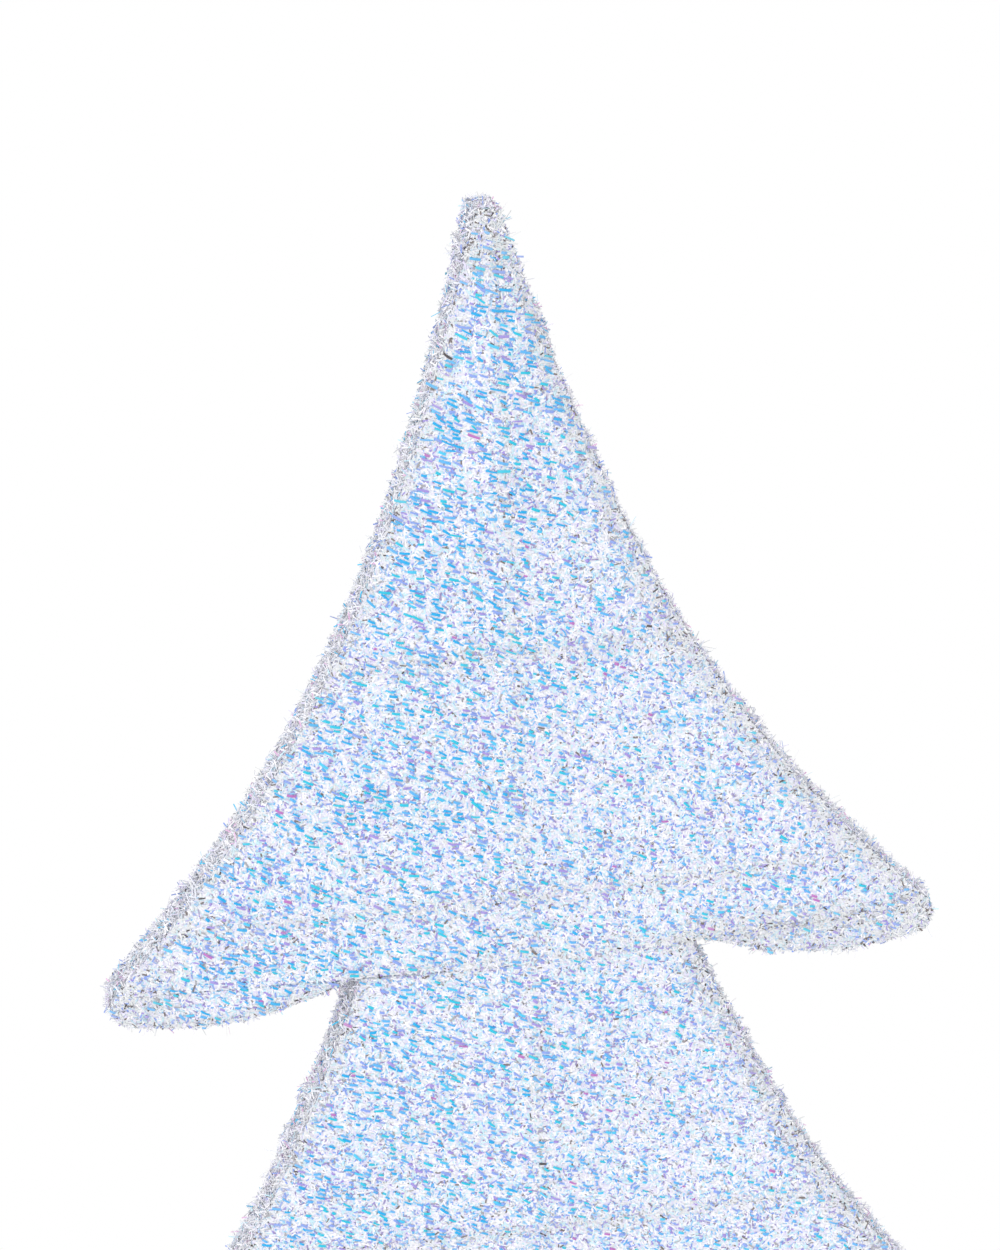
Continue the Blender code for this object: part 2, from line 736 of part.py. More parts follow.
def make_pole():
    top_brace = TIERS[2].brace_heights[1]
    ring("trunk_sleeve", SLEEVE_BORE, SLEEVE_RADIUS, SLEEVE_BOTTOM, top_brace + SLEEVE_RISE, bar_material())
    pole_top = SLEEVE_BOTTOM + POLE_ENGAGEMENT
    pole_bottom = LOWER_BAR_TOP + GAP
    ring("pole", POLE_RADIUS - TUBE_WALL, POLE_RADIUS, pole_bottom, pole_top, bar_material())
    ring_top = SLEEVE_BOTTOM - GAP
    bore = POLE_RADIUS + GAP
    radius = POLE_RADIUS + STOP_RING_LIP
    ring("pole_stop_ring", bore, radius, ring_top - STOP_RING_HEIGHT, ring_top, plastic_material())


def make_bar(name, bottom, along_x):
    half = (BAR_LENGTH / 2, BAR_WIDTH / 2)
    if not along_x:
        half = half[::-1]
    return box(name, (-half[0], -half[1], bottom), (half[0], half[1], bottom + BAR_THICKNESS), bar_material())


def make_foot(name, angle, bar_bottom):
    """A moulded block that takes the end of a bar. angle is the bar's direction seen from above."""
    end = BAR_LENGTH / 2
    top = bar_bottom + BAR_THICKNESS + FOOT_CROWN
    half_width = BAR_WIDTH / 2 + GAP + FOOT_SIDE_WALL
    low = (end - FOOT_GRIP, -half_width, 0)
    high = (end + GAP + FOOT_END_WALL, half_width, top)
    foot = round_edges(box(name, low, high, rubber_material()), FOOT_ROUNDING)
    pocket = box(
        f"{name} pocket",
        (end - FOOT_GRIP - OVERRUN, -BAR_WIDTH / 2 - GAP, bar_bottom - GAP),
        (end + GAP, BAR_WIDTH / 2 + GAP, bar_bottom + BAR_THICKNESS + GAP),
        None,
        "cutters",
    )
    combine(foot, pocket, "DIFFERENCE")
    hub = bpy.data.objects.new(f"{name} turn", None)
    collection("light tree").objects.link(hub)
    hub.rotation_euler = (0, 0, angle)
    foot.parent = hub
    pocket.parent = hub


def make_stand():
    make_bar("lower_bar", BAR_CLEARANCE, True)
    upper = make_bar("upper_bar", UPPER_BAR_BOTTOM, False)
    eye_radius = SOCKET_RADIUS + GAP + EYE_WALL
    eye = cylinder("upper bar eye", eye_radius, UPPER_BAR_BOTTOM, UPPER_BAR_TOP, None, group="cutters")
    combine(upper, eye, "UNION")
    hole = cylinder(
        "upper bar hole",
        SOCKET_RADIUS + GAP,
        UPPER_BAR_BOTTOM - OVERRUN,
        UPPER_BAR_TOP + OVERRUN,
        None,
        group="cutters",
    )
    combine(upper, hole, "DIFFERENCE")
    socket = ring("socket_tube", SOCKET_BORE, SOCKET_RADIUS, LOWER_BAR_TOP + GAP, SOCKET_TOP, bar_material())
    drilling = cylinder(
        "screw hole", SCREW_RADIUS + GAP, 0, SOCKET_RADIUS + OVERRUN, None, SMALL_STEPS, "cutters"
    )
    drilling.rotation_euler = (0, math.pi / 2, 0)
    drilling.location = ((SOCKET_RADIUS + OVERRUN) / 2, 0, SCREW_HEIGHT)
    combine(socket, drilling, "DIFFERENCE")
    collar_bottom = UPPER_BAR_TOP + GAP
    collar_radius = SOCKET_RADIUS + GAP + COLLAR_LIP
    collar_top = collar_bottom + COLLAR_HEIGHT
    ring("retaining_collar", SOCKET_RADIUS + GAP, collar_radius, collar_bottom, collar_top, plastic_material())
    make_foot("foot_right", 0, BAR_CLEARANCE)
    make_foot("foot_left", math.pi, BAR_CLEARANCE)
    make_foot("foot_back", math.pi / 2, UPPER_BAR_BOTTOM)
    make_foot("foot_front", -math.pi / 2, UPPER_BAR_BOTTOM)
    make_thumb_screw()


def make_thumb_screw():
    """The clamping screw along X, with a knob and two wings. Its origin is on its axis."""
    start = POLE_RADIUS + GAP
    knob_start = SOCKET_RADIUS + SCREW_STICKOUT
    end = knob_start + KNOB_THICKNESS
    screw = cylinder("thumb_screw", SCREW_RADIUS, start, end, plastic_material(), SMALL_STEPS)
    screw.rotation_euler = (0, math.pi / 2, 0)
    screw.location = ((start + end) / 2, 0, SCREW_HEIGHT)
    knob = cylinder("knob", KNOB_RADIUS, knob_start, end, None, SMALL_STEPS, "cutters")
    knob.rotation_euler = (0, math.pi / 2, 0)
    knob.location = ((knob_start + end) / 2, 0, SCREW_HEIGHT)
    combine(screw, knob, "UNION")
    wing = box(
        "wing",
        (knob_start, -WING_REACH, SCREW_HEIGHT - WING_THICKNESS / 2),
        (knob_start + WING_DEPTH, WING_REACH, SCREW_HEIGHT + WING_THICKNESS / 2),
        None,
        "cutters",
    )
    combine(screw, wing, "UNION")


def lid_section(levels, bottom, top, tongue):
    """The lid's section, wider at its inner half: levels are the y values of its face, its step and its back."""
    inner, step, outer = levels
    return [
        (inner, bottom - tongue),
        (step, bottom - tongue),
        (step, bottom),
        (outer, bottom),
        (outer, top),
        (step, top),
        (step, top + tongue),
        (inner, top + tongue),
    ]


def make_case():
    """The battery case: a shell open at the back for the lid, with a closed bay for the board above it."""
    half = CASE_HALF_WIDTH
    case = box("battery_case", (-half, CASE_FRONT, CASE_BOTTOM), (half, CASE_BACK, CASE_TOP), plastic_material())
    round_edges(case, CASE_CORNER)
    bay = box(
        "cell bay",
        (-BAY_HALF_WIDTH, BAY_FRONT, BAY_BOTTOM),
        (BAY_HALF_WIDTH, LID_INNER, BAY_TOP),
        None,
        "cutters",
    )
    section = lid_section(LID_WAY_Y, BAY_BOTTOM - LID_LEDGE, BAY_TOP + LID_LEDGE, LID_TONGUE)
    lid_way = extruded("lid way", section, -BAY_HALF_WIDTH - LID_LEDGE, half + OVERRUN, None, "cutters")
    board_bay = box(
        "board bay",
        (-BAY_HALF_WIDTH, BAY_FRONT, BOARD_BAY_BOTTOM),
        (BAY_HALF_WIDTH, CASE_BACK - CASE_WALL, BOARD_BAY_TOP),
        None,
        "cutters",
    )
    slot_half = SLIDER_NECK_WIDTH / 2 + SLIDER_TRAVEL + GAP
    slot_middle = (BOARD_BAY_BOTTOM + BOARD_BAY_TOP) / 2
    slot_rise = SLIDER_NECK_HEIGHT / 2 + GAP
    slot = box(
        "switch slot",
        (-slot_half, CASE_BACK - CASE_WALL - OVERRUN, slot_middle - slot_rise),
        (slot_half, CASE_BACK + OVERRUN, slot_middle + slot_rise),
        None,
        "cutters",
    )
    lead_hole = cylinder(
        "lead hole",
        LEAD_RADIUS + GAP,
        BOARD_BAY_TOP - OVERRUN,
        CASE_TOP + OVERRUN,
        None,
        SMALL_STEPS,
        "cutters",
    )
    lead_hole.location.x = LEAD_X
    lead_hole.location.y = CELL_Y
    clip_bottom = CASE_BOTTOM + CLIP_RISE
    clip_top = clip_bottom + CLIP_HEIGHT
    clip = cylinder("clip", CLIP_BORE + CLIP_WALL, clip_bottom, clip_top, None, group="cutters")
    combine(case, clip, "UNION")
    clip_bore = cylinder("clip bore", CLIP_BORE, clip_bottom - OVERRUN, clip_top + OVERRUN, None, group="cutters")
    for cutter in (clip_bore, bay, lid_way, board_bay, slot, lead_hole):
        combine(case, cutter, "DIFFERENCE")


def make_lid():
    """The lid slides along X. Its wider inner half runs in the case's grooves."""
    low, high = BAY_BOTTOM - LID_LEDGE + GAP, BAY_TOP + LID_LEDGE - GAP
    left = -BAY_HALF_WIDTH - LID_LEDGE + GAP
    lid = extruded("battery_lid", lid_section(LID_Y, low, high, LID_TONGUE), left, CASE_HALF_WIDTH, plastic_material())
    rib_pitch = LID_RIB_WIDTH * 2
    for number in range(LID_RIB_COUNT):
        rib_left = CASE_HALF_WIDTH - CASE_CORNER - LID_RIB_WIDTH - (number + 1) * rib_pitch
        rib = box(
            f"lid rib {number}",
            (rib_left, CASE_BACK - LID_THICKNESS / 2, low + CELL_RADIUS),
            (rib_left + LID_RIB_WIDTH, CASE_BACK + LID_RIB_HEIGHT, high - CELL_RADIUS),
            None,
            "cutters",
        )
        combine(lid, rib, "UNION")


def cell_height(number):
    return BAY_BOTTOM + GAP + CELL_RADIUS + number * CELL_PITCH


def cell_direction(number):
    """Cells lie head to tail: 1 where the positive end points to +X."""
    return 1 if number % 2 == 0 else -1


def positive_end():
    """How far the positive nub's tip lies from the middle of the bay."""
    return BAY_HALF_WIDTH - GAP - CONTACT_THICKNESS - CONTACT_NUB - GAP


def make_cells():
    for number in range(CELL_COUNT):
        way = cell_direction(number)
        tip = positive_end()
        shoulder = tip - CELL_NUB_LENGTH
        name = f"cell_{number + 1}"
        cell = cylinder(name, CELL_RADIUS, shoulder - CELL_LENGTH, shoulder, cell_material())
        nub = cylinder(f"{name} nub", CELL_NUB_RADIUS, shoulder - OVERRUN, tip, None, SMALL_STEPS, "cutters")
        for item, middle in ((cell, shoulder - CELL_LENGTH / 2), (nub, (shoulder - OVERRUN + tip) / 2)):
            item.rotation_euler = (0, way * math.pi / 2, 0)
            item.location = (way * middle, CELL_Y, cell_height(number))
        combine(cell, nub, "UNION")


def make_contact(side):
    """An end plate: a nub for each positive end that it meets and a coned spring for each negative one."""
    outer = side * (BAY_HALF_WIDTH - GAP)
    inner = side * (BAY_HALF_WIDTH - GAP - CONTACT_THICKNESS)
    name = "contact_plate_right" if side > 0 else "contact_plate_left"
    low = (min(outer, inner), CELL_Y - CELL_RADIUS, BAY_BOTTOM + GAP)
    high = (max(outer, inner), CELL_Y + CELL_RADIUS, BAY_TOP - GAP)
    plate = box(name, low, high, contact_material())
    for number in range(CELL_COUNT):
        if cell_direction(number) == side:
            length, radius, tip = CONTACT_NUB, CELL_NUB_RADIUS, CELL_NUB_RADIUS
        else:
            length, radius, tip = SPRING_LENGTH, SPRING_RADIUS, SPRING_RADIUS * SPRING_TIP_SHARE
        root = CONTACT_THICKNESS / 2
        bump = cylinder(f"{name} {number}", radius, 0, length + root, None, SMALL_STEPS, "cutters", tip)
        bump.rotation_euler = (0, -side * math.pi / 2, 0)
        bump.location = (inner + side * (root - length) / 2, CELL_Y, cell_height(number))
        combine(plate, bump, "UNION")


def make_switch():
    """The board stands against the front wall of its bay, and its switch block reaches back to the slider."""
    low, high = BOARD_BAY_BOTTOM + GAP, BOARD_BAY_TOP - GAP
    half = BAY_HALF_WIDTH - BOARD_MARGIN
    board_front = BAY_FRONT + GAP
    board_back = board_front + BOARD_THICKNESS
    board = box("circuit_board", (-half, board_front, low), (half, board_back, high), board_material())
    wall = CASE_BACK - CASE_WALL
    slider_front = wall - GAP - SLIDER_BODY_DEPTH
    block = box(
        "switch block",
        (-SWITCH_BLOCK_WIDTH / 2, board_front + BOARD_THICKNESS / 2, low + BOARD_MARGIN),
        (SWITCH_BLOCK_WIDTH / 2, slider_front - GAP, high - BOARD_MARGIN),
        None,
        "cutters",
    )
    combine(board, block, "UNION")
    middle = (BOARD_BAY_BOTTOM + BOARD_BAY_TOP) / 2
    rise = (high - low) / 2 - BOARD_MARGIN
    slider = box(
        "switch_slider",
        (-SLIDER_BODY_WIDTH / 2, slider_front, middle - rise),
        (SLIDER_BODY_WIDTH / 2, wall - GAP, middle + rise),
        slider_material(),
    )
    neck = box(
        "slider neck",
        (-SLIDER_NECK_WIDTH / 2, slider_front + SLIDER_BODY_DEPTH / 2, middle - SLIDER_NECK_HEIGHT / 2),
        (SLIDER_NECK_WIDTH / 2, CASE_BACK + SLIDER_PROUD, middle + SLIDER_NECK_HEIGHT / 2),
        None,
        "cutters",
    )
    combine(slider, neck, "UNION")


def smooth_round_pieces():
    for item in collection("light tree").objects:
        if item.type == "MESH":
            item.data.shade_smooth()
            item.data.set_sharp_from_angle(angle=math.radians(35))


def main():
    clear_scene()
    collection("light tree")
    collection("cutters").hide_render = True
    make_cloth()
    make_frame()
    make_lamp_string()
    make_pole()
    make_stand()
    make_case()
    make_lid()
    make_cells()
    make_contact(-1)
    make_contact(1)
    make_switch()
    smooth_round_pieces()


main()
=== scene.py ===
"""Dresses a flat light-up tree in tinsel cloth, finishes its stand and case, and sets up the studio."""
import json
import math

import bmesh
import bpy
from bpy.props import FloatProperty, FloatVectorProperty, IntProperty, PointerProperty
from mathutils import Matrix, Vector, kdtree
from mathutils.bvhtree import BVHTree


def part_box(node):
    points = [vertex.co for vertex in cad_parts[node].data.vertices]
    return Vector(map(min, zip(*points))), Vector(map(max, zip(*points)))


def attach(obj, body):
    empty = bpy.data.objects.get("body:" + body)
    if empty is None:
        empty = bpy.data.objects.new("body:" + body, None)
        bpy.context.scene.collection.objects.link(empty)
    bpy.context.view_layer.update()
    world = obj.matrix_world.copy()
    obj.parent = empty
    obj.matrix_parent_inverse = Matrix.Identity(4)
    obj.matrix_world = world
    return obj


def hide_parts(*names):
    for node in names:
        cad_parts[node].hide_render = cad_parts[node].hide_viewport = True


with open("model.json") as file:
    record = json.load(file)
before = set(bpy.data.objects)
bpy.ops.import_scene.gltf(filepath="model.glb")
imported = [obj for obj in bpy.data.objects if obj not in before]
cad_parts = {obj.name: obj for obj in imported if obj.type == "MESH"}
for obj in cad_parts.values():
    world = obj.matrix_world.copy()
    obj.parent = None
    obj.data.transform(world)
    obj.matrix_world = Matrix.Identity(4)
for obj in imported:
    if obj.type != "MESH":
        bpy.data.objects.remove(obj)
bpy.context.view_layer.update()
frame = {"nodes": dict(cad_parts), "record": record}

bl_info = {
    "name": "Tinsel Light Tree",
    "version": (1, 0, 0),
    "blender": (4, 5, 0),
    "location": "3D View > Sidebar > Tinsel Tree",
    "description": "Builds the tinsel cloth, fittings and studio of a flat light-up tree",
    "category": "Object",
}

TIERS = ("top", "middle", "bottom")
TAPES = ("side_tape_top", *(f"side_tape_{tier}_{side}" for tier in TIERS[1:] for side in ("left", "right")))
SIDES = {-1: "front", 1: "back"}
WELD = 0.00001
CONTACT_THICKNESS = 0.0006

# The least part of a normal that faces a side, and the least shares of a grid's pitch from a sheet's two
# ends to a cut
FACING = 0.5
FIRST_CUT = 0.37
LAST_CUT = 0.2

# Cloth, in metres. A reach is how far from an edge, a wire or a point its effect dies out.
OUTLINE_STEP = 0.002
SEAM_REACH = 0.004
SEAM_END = 0.002
SEAM_SLACK = 0.0005
UPRIGHT_REACH = 0.004
UPRIGHT_FOLD = 0.6
BRACE_REACH = 0.005
BRACE_END = 0.004
# The fold value, near the wires and the apex, also sets painted shade on the strips there
PANEL_APEX_REACH = 0.03
TAPE_APEX_REACH = 0.022
ROUNDED_REACH = 0.0035
ROUNDED_DEPTH = 0.0009
PUCKER_MARGIN = 0.01
PROBE_OUT = 0.0009
PROBE_IN = 0.0016

# Painted shade on the pile, greyer where the rounded outline and the tips turn away from the light: its
# reach from the outline, what the right side adds over how far, and the tips
SHADE_REACH = 0.0055
SHADE_RIGHT_MORE = 0.0065
SHADE_RIGHT_SPAN = 0.05
TIP_REACH = 0.034
TIP_SHADE = 1.35

# Coolness: how blue the foil is, across the tree and by steps of (height, reach, gain). Across the tree it
# is a painted
# reflection: more cyan on the left as seen, where that half of the ridge catches the light. A negative reach
# counts downwards, and a negative gain is a loss.
COOL_MIDDLE = 0.4
COOL_SPAN = 0.12
COOL_MOST = 0.65
COOL_STEPS = ((0.74, 0.15, 0.9), (0.62, -0.1, -0.12))
COOL_UPRIGHT = 0.35
COOL_UPRIGHT_REACH = 0.006

# Pile: how much denser it is at the rim and in folds, and the tufts of its ragged edge
RIM_CROWD = 0.4
FOLD_CROWD = 0.6
TUFT_SCALE = 85.0
TUFT_START = 0.54
TUFT_STEEPNESS = 7.0
TUFT_CROWD = 500.0

# Blue stacks: where they are fewer, their patches, and how a strip's place strays in its stack
WARM_SHARE = 0.50
# Painted shade: fewer blue stacks near the shaded outline and the folds, so these show less colour
RIM_LOSS = 0.60
FOLD_LOSS = 0.3
PATCH_SCALE = 34.0
PATCH_LEAST = 0.8
PATCH_GAIN = 0.4
COLUMN_PULL = 0.3
COLUMN_STRAY = 0.0012
STACK_DRIFT = 0.00035
STACK_STRAY = 0.0005
WARM_LENGTH = 0.85
COOL_LENGTH = 0.4
WARM_SHIFT = 0.42

# Strips: a strip's arch for a length of 1, the spreads of its sizes, and how many take the painted shade
ARCH_RISE = 0.35
ARCH_BEND = 1.4
RISE_SPREAD = (0.35, 1.0)
LENGTH_SPREAD = (0.55, 1.45)
WIDTH_SPREAD = (0.75, 1.25)
SHADE_SHARE = 0.8
# Painted shade in the folds along the wires and at the apex, against that at the rim
FOLD_SHADE = 0.5

# Kinds of pile on the edge tapes, as arguments of pile_values
EDGE_PILE = {"scale": 1.1, "lift": 0.0006, "tilt": 0.4, "swing": 3.0}
EDGE_FUZZ = {
    "scale": 0.34,
    "lift": 0.0010,
    "tilt": 1.15,
    "swing": 3.0,
    "seed_shift": 90,
    "Length": 0.0038,
    "Width": 0.00052,
    "Tuft": 0.0019,
}
STRAY_FIBRES = {
    "scale": 0.011,
    "lift": 0.0018,
    "tilt": 1.4,
    "swing": 3.0,
    "seed_shift": 120,
    "Length": 0.0088,
    "Width": 0.00036,
}

# Random draws: each has its own offset from the seed, from 2 up
# Two of the draws pick which strips near the outline take a painted shade tint, and which tint
DRAW_NAMES = "column amount drift rise swing swing_again roll pitch length width tint worn_tint worn".split()
DRAWS = {name: offset for offset, name in enumerate(DRAW_NAMES, start=2)}

# Springs: how far apart they stand, their seat in the plate as a share of the wire's radius, the flat share
# of the turns at each end, and the steps in a turn
SPRING_STEP = 0.01
SPRING_SEAT = 0.8
SPRING_FLAT = 0.12
TURN_STEPS = 16

# Studio: the camera stands where the photograph's did
CAMERA_PLACE = (-0.31902, -1.83671, 1.38175)
CAMERA_YAW = math.radians(9.7897)
CAMERA_DROP = math.radians(18.5213)
CAMERA_ROLL = math.radians(3.1436)
CAMERA_LENS = 140.0
SENSOR_WIDTH = 36.0
FAR_LIMIT = 50.0
WORLD_STRENGTH = 0.83
FLOOR_RADIUS = 1.0
FLOOR_GAP = 0.0002
FLOOR_FADE_START = 0.45
FLOOR_FADE_WIDTH = 0.5
LAMPS = (
    ("key", (0.5, 1.0, -0.4), 1.25, math.radians(30)),
    ("back", (-0.5, -1.0, -0.5), 0.7, math.radians(40)),
)


def operation(name, swapped=False):
    """A method that adds a Math node for one of Python's own signs."""

    def method(self, other):
        first, second = (other, self) if swapped else (self, other)
        return self.math(name, first, second)

    return method


class Socket:
    """A node's output with arithmetic, so that a formula on sockets adds its Math nodes."""

    def __init__(self, maker, output):
        self.maker = maker
        self.output = output

    def math(self, name, *values):
        return self.maker.node("ShaderNodeMath", {"operation": name}, dict(enumerate(values)))

    __add__ = operation("ADD")
    __radd__ = operation("ADD", swapped=True)
    __sub__ = operation("SUBTRACT")
    __rsub__ = operation("SUBTRACT", swapped=True)
    __mul__ = operation("MULTIPLY")
    __rmul__ = operation("MULTIPLY", swapped=True)
    __truediv__ = operation("DIVIDE")
    __gt__ = operation("GREATER_THAN")
    __lt__ = operation("LESS_THAN")

    def rounded(self):
        return self.math("ROUND", self)

    def beside(self, name):
        """Another output of the same node."""
        return Socket(self.maker, self.output.node.outputs[name])

    def clamped(self):
        return self.maker.node("ShaderNodeMath", {"operation": "ADD", "use_clamp": True}, {0: self, 1: 0.0})


class Maker:
    """Adds nodes to one tree."""

    def __init__(self, tree):
        self.tree = tree

    def node(self, kind, settings=None, inputs=None, output=0):
        """Adds a node with its settings first, then its sockets' values or links, and gives one output."""
        made = self.tree.nodes.new(kind)
        for name, value in (settings or {}).items():
            setattr(made, name, value)
        for name, value in (inputs or {}).items():
            self._feed(self._socket(made.inputs, name), value)
        return Socket(self, self._socket(made.outputs, output)) if made.outputs else None

    @staticmethod
    def _socket(sockets, name):
        if isinstance(name, int):
            return sockets[name]
        for socket in sockets:
            if socket.identifier == name:
                return socket
        return sockets[name]

    def _feed(self, socket, value):
        if isinstance(value, Socket):
            self.tree.links.new(value.output, socket)
        elif hasattr(socket, "default_value"):
            if socket.type == "RGBA" and len(value) == 3:
                value = (*value, 1.0)
            socket.default_value = value

    def mix(self, factor, first, second):
        """A colour mix, worked as colour and not as a number."""
        return self.node(
            "ShaderNodeMix",
            {"data_type": "RGBA"},
            {"Factor_Float": factor, "A_Color": first, "B_Color": second},
            "Result_Color",
        )

    def vector(self, operation, first, second=(0.0, 0.0, 0.0), scale=1.0, output=0):
        inputs = {0: first, 1: second}
        if operation == "SCALE":
            inputs = {0: first, "Scale": scale}
        return self.node("ShaderNodeVectorMath", {"operation": operation}, inputs, output)

    def split(self, vector):
        """The x, y and z of a vector."""
        x = self.node("ShaderNodeSeparateXYZ", None, {0: vector})
        return x, x.beside("Y"), x.beside("Z")

    def joined(self, x=0.0, y=0.0, z=0.0):
        return self.node("ShaderNodeCombineXYZ", None, {0: x, 1: y, 2: z})

    def seen(self):
        """1 where the camera looks at it straight, in a mirror or through glass, and 0 for other light."""
        direct = self.node("ShaderNodeLightPath", None, None, "Is Camera Ray")
        return (direct + direct.beside("Is Glossy Ray") + direct.beside("Is Transmission Ray")).clamped()

    def place(self):
        """Object coordinates, in metres."""
        return self.node("ShaderNodeTexCoord", None, None, "Object")

    def noise(self, at, size, detail=2.0):
        """Noise with features about size metres across."""
        inputs = {"Vector": at, "Scale": 1.0 / size, "Detail": detail}
        return self.node("ShaderNodeTexNoise", None, inputs, "Fac")

    def cells(self, at, size):
        """A random colour for each cell, about size metres across."""
        inputs = {"Vector": at, "Scale": 1.0 / size}
        return self.node("ShaderNodeTexVoronoi", {"feature": "F1"}, inputs, "Color")

    def ramp(self, factor, stops, interpolation="LINEAR"):
        """A colour from a ramp of (place, colour) stops."""
        made = self.node("ShaderNodeValToRGB", None, {"Fac": factor}, "Color")
        ramp = made.output.node.color_ramp
        ramp.interpolation = interpolation
        while len(ramp.elements) > 1:
            ramp.elements.remove(ramp.elements[-1])
        for number, (place, colour) in enumerate(stops):
            element = ramp.elements[0] if number == 0 else ramp.elements.new(place)
            element.position = place
            element.color = (*colour, 1.0)
        return made

    def bump(self, height, distance, strength):
        return self.node(
            "ShaderNodeBump", None, {"Height": height, "Distance": distance, "Strength": strength}, "Normal"
        )


def fresh_maker(owner):
    """A maker for the emptied node tree of a material or a world."""
    owner.use_nodes = True
    owner.node_tree.nodes.clear()
    return Maker(owner.node_tree)


def surface(name, paint):
    """A material whose paint function gives the Principled shader's inputs."""
    made = bpy.data.materials.get(name)
    if made:
        return made
    made = bpy.data.materials.new(name)
    maker = fresh_maker(made)
    shader = maker.node("ShaderNodeBsdfPrincipled", None, paint(maker), "BSDF")
    maker.node("ShaderNodeOutputMaterial", None, {"Surface": shader})
    return made


def from_bytes(red, green, blue):
    """A colour as a screen shows it, from 0 to 255, as the linear colour that a shader takes."""

    def linear(value):
        value /= 255
        return value / 12.92 if value <= 0.04045 else ((value + 0.055) / 1.055) ** 2.4

    return (linear(red), linear(green), linear(blue))


CYAN = from_bytes(0, 168, 228)
TURQUOISE = from_bytes(16, 192, 220)
LIGHT_CYAN = from_bytes(70, 196, 238)
BLUE = from_bytes(88, 176, 236)
PERIWINKLE = from_bytes(134, 160, 230)
VIOLET = from_bytes(158, 142, 216)
MAGENTA = from_bytes(184, 112, 188)
PINK = from_bytes(232, 186, 224)
SKY = from_bytes(148, 202, 240)
ICE = from_bytes(200, 233, 244)
LILAC = from_bytes(224, 219, 244)
PALE = from_bytes(238, 240, 249)
WHITE = from_bytes(250, 248, 252)
SILVER = from_bytes(226, 228, 229)
# Grey that strips near the outline, the tips and the folds are mixed towards: painted shade
RIM_SHADE_ASH = from_bytes(206, 211, 214)
# Grey for dust on the coat and rubber, and for painted shadow specks between the strips
DUST_AND_SHADE_GREY = from_bytes(166, 166, 172)
# Painted shadow: dusky lilac specks for the shade between strips
SHADOW_LILAC = from_bytes(150, 140, 188)
# Painted shadow: brownish dark specks for the shade between strips
SHADOW_UMBER = from_bytes(118, 108, 106)
# Painted shadow: the darkest specks
SHADOW_DARK = from_bytes(74, 68, 72)
COAT_GREY = from_bytes(208, 209, 208)
PLASTIC_WHITE = from_bytes(222, 222, 219)
RUBBER_GREY = from_bytes(96, 97, 100)
CLEAR_RESIN = from_bytes(232, 226, 206)
COPPER_IN_RESIN = from_bytes(198, 160, 120)
JACKET_DARK = from_bytes(58, 60, 66)
JACKET_LIGHT = from_bytes(70, 72, 80)
NICKEL_LIGHT = from_bytes(214, 210, 202)
NICKEL_SHADE = from_bytes(188, 183, 172)
MASK_GREEN = from_bytes(24, 96, 58)
RUN_GREEN = from_bytes(54, 132, 76)
SLIDER_BLACK = from_bytes(30, 30, 32)
SLIDER_RUBBED = from_bytes(52, 52, 54)
FLOOR_WHITE = from_bytes(246, 246, 247)

# Tints of the strips, each with the share of draws below it
# Painted shade: greys and dark strokes for the strips near the outline, the tips and the folds
SHADE_TINTS = (
    (0.0, SILVER),
    (0.44, DUST_AND_SHADE_GREY),
    (0.56, WHITE),
    (0.64, LILAC),
    (0.74, SHADOW_UMBER),
    (0.81, PERIWINKLE),
    (0.89, VIOLET),
    (0.93, SILVER),
    (0.96, SHADOW_DARK),
)
DASH_TINTS = (
    (0.0, CYAN),
    (0.38, TURQUOISE),
    (0.53, LIGHT_CYAN),
    (0.61, BLUE),
    (0.80, PERIWINKLE),
    (0.93, VIOLET),
    (0.985, MAGENTA),
)
PILE_TINTS = (
    (0.0, BLUE),
    (0.03, PERIWINKLE),
    (0.095, VIOLET),
    (0.125, SKY),
    (0.175, ICE),
    (0.285, LILAC),
    (0.38, PALE),
    (0.60, WHITE),
    (0.78, PALE),
    (0.86, ICE),
    (0.89, SILVER),
    # Painted shadow: the greys and darks from here on stand for the shade between strips
    (0.94, DUST_AND_SHADE_GREY),
    (0.96, SHADOW_LILAC),
    (0.994, SHADOW_UMBER),
)
HAIR_TINTS = (
    (0.0, PALE),
    (0.28, SILVER),
    (0.48, WHITE),
    (0.78, ICE),
    (0.82, LILAC),
    (0.90, PERIWINKLE),
    (0.935, LIGHT_CYAN),
    (0.965, PINK),
)
EDGE_TINTS = (
    (0.0, PALE),
    (0.30, SILVER),
    (0.40, WHITE),
    (0.76, SILVER),
    (0.82, ICE),
    (0.86, WHITE),
    # Painted shadow: the greys and darks from here on stand for the shade between strips
    (0.945, DUST_AND_SHADE_GREY),
    (0.97, SHADOW_UMBER),
    (0.98, PERIWINKLE),
    (0.993, SHADOW_DARK),
)
FLECK_TINTS = (
    (0.0, PALE),
    (0.4, LILAC),
    (0.55, WHITE),
    (0.72, ICE),
    (0.84, SILVER),
    (0.92, SKY),
    # Painted shadow: the brownish dark flecks
    (0.97, SHADOW_UMBER),
)


def length_setting(name, description, default):
    return FloatProperty(name=name, description=description, default=default, unit="LENGTH")


def density_setting(name, description, default):
    return FloatProperty(name=name, description=description, default=default, min=0.0)


def colour_setting(name, description, default):
    return FloatVectorProperty(name=name, description=description, subtype="COLOR", size=3, default=default)


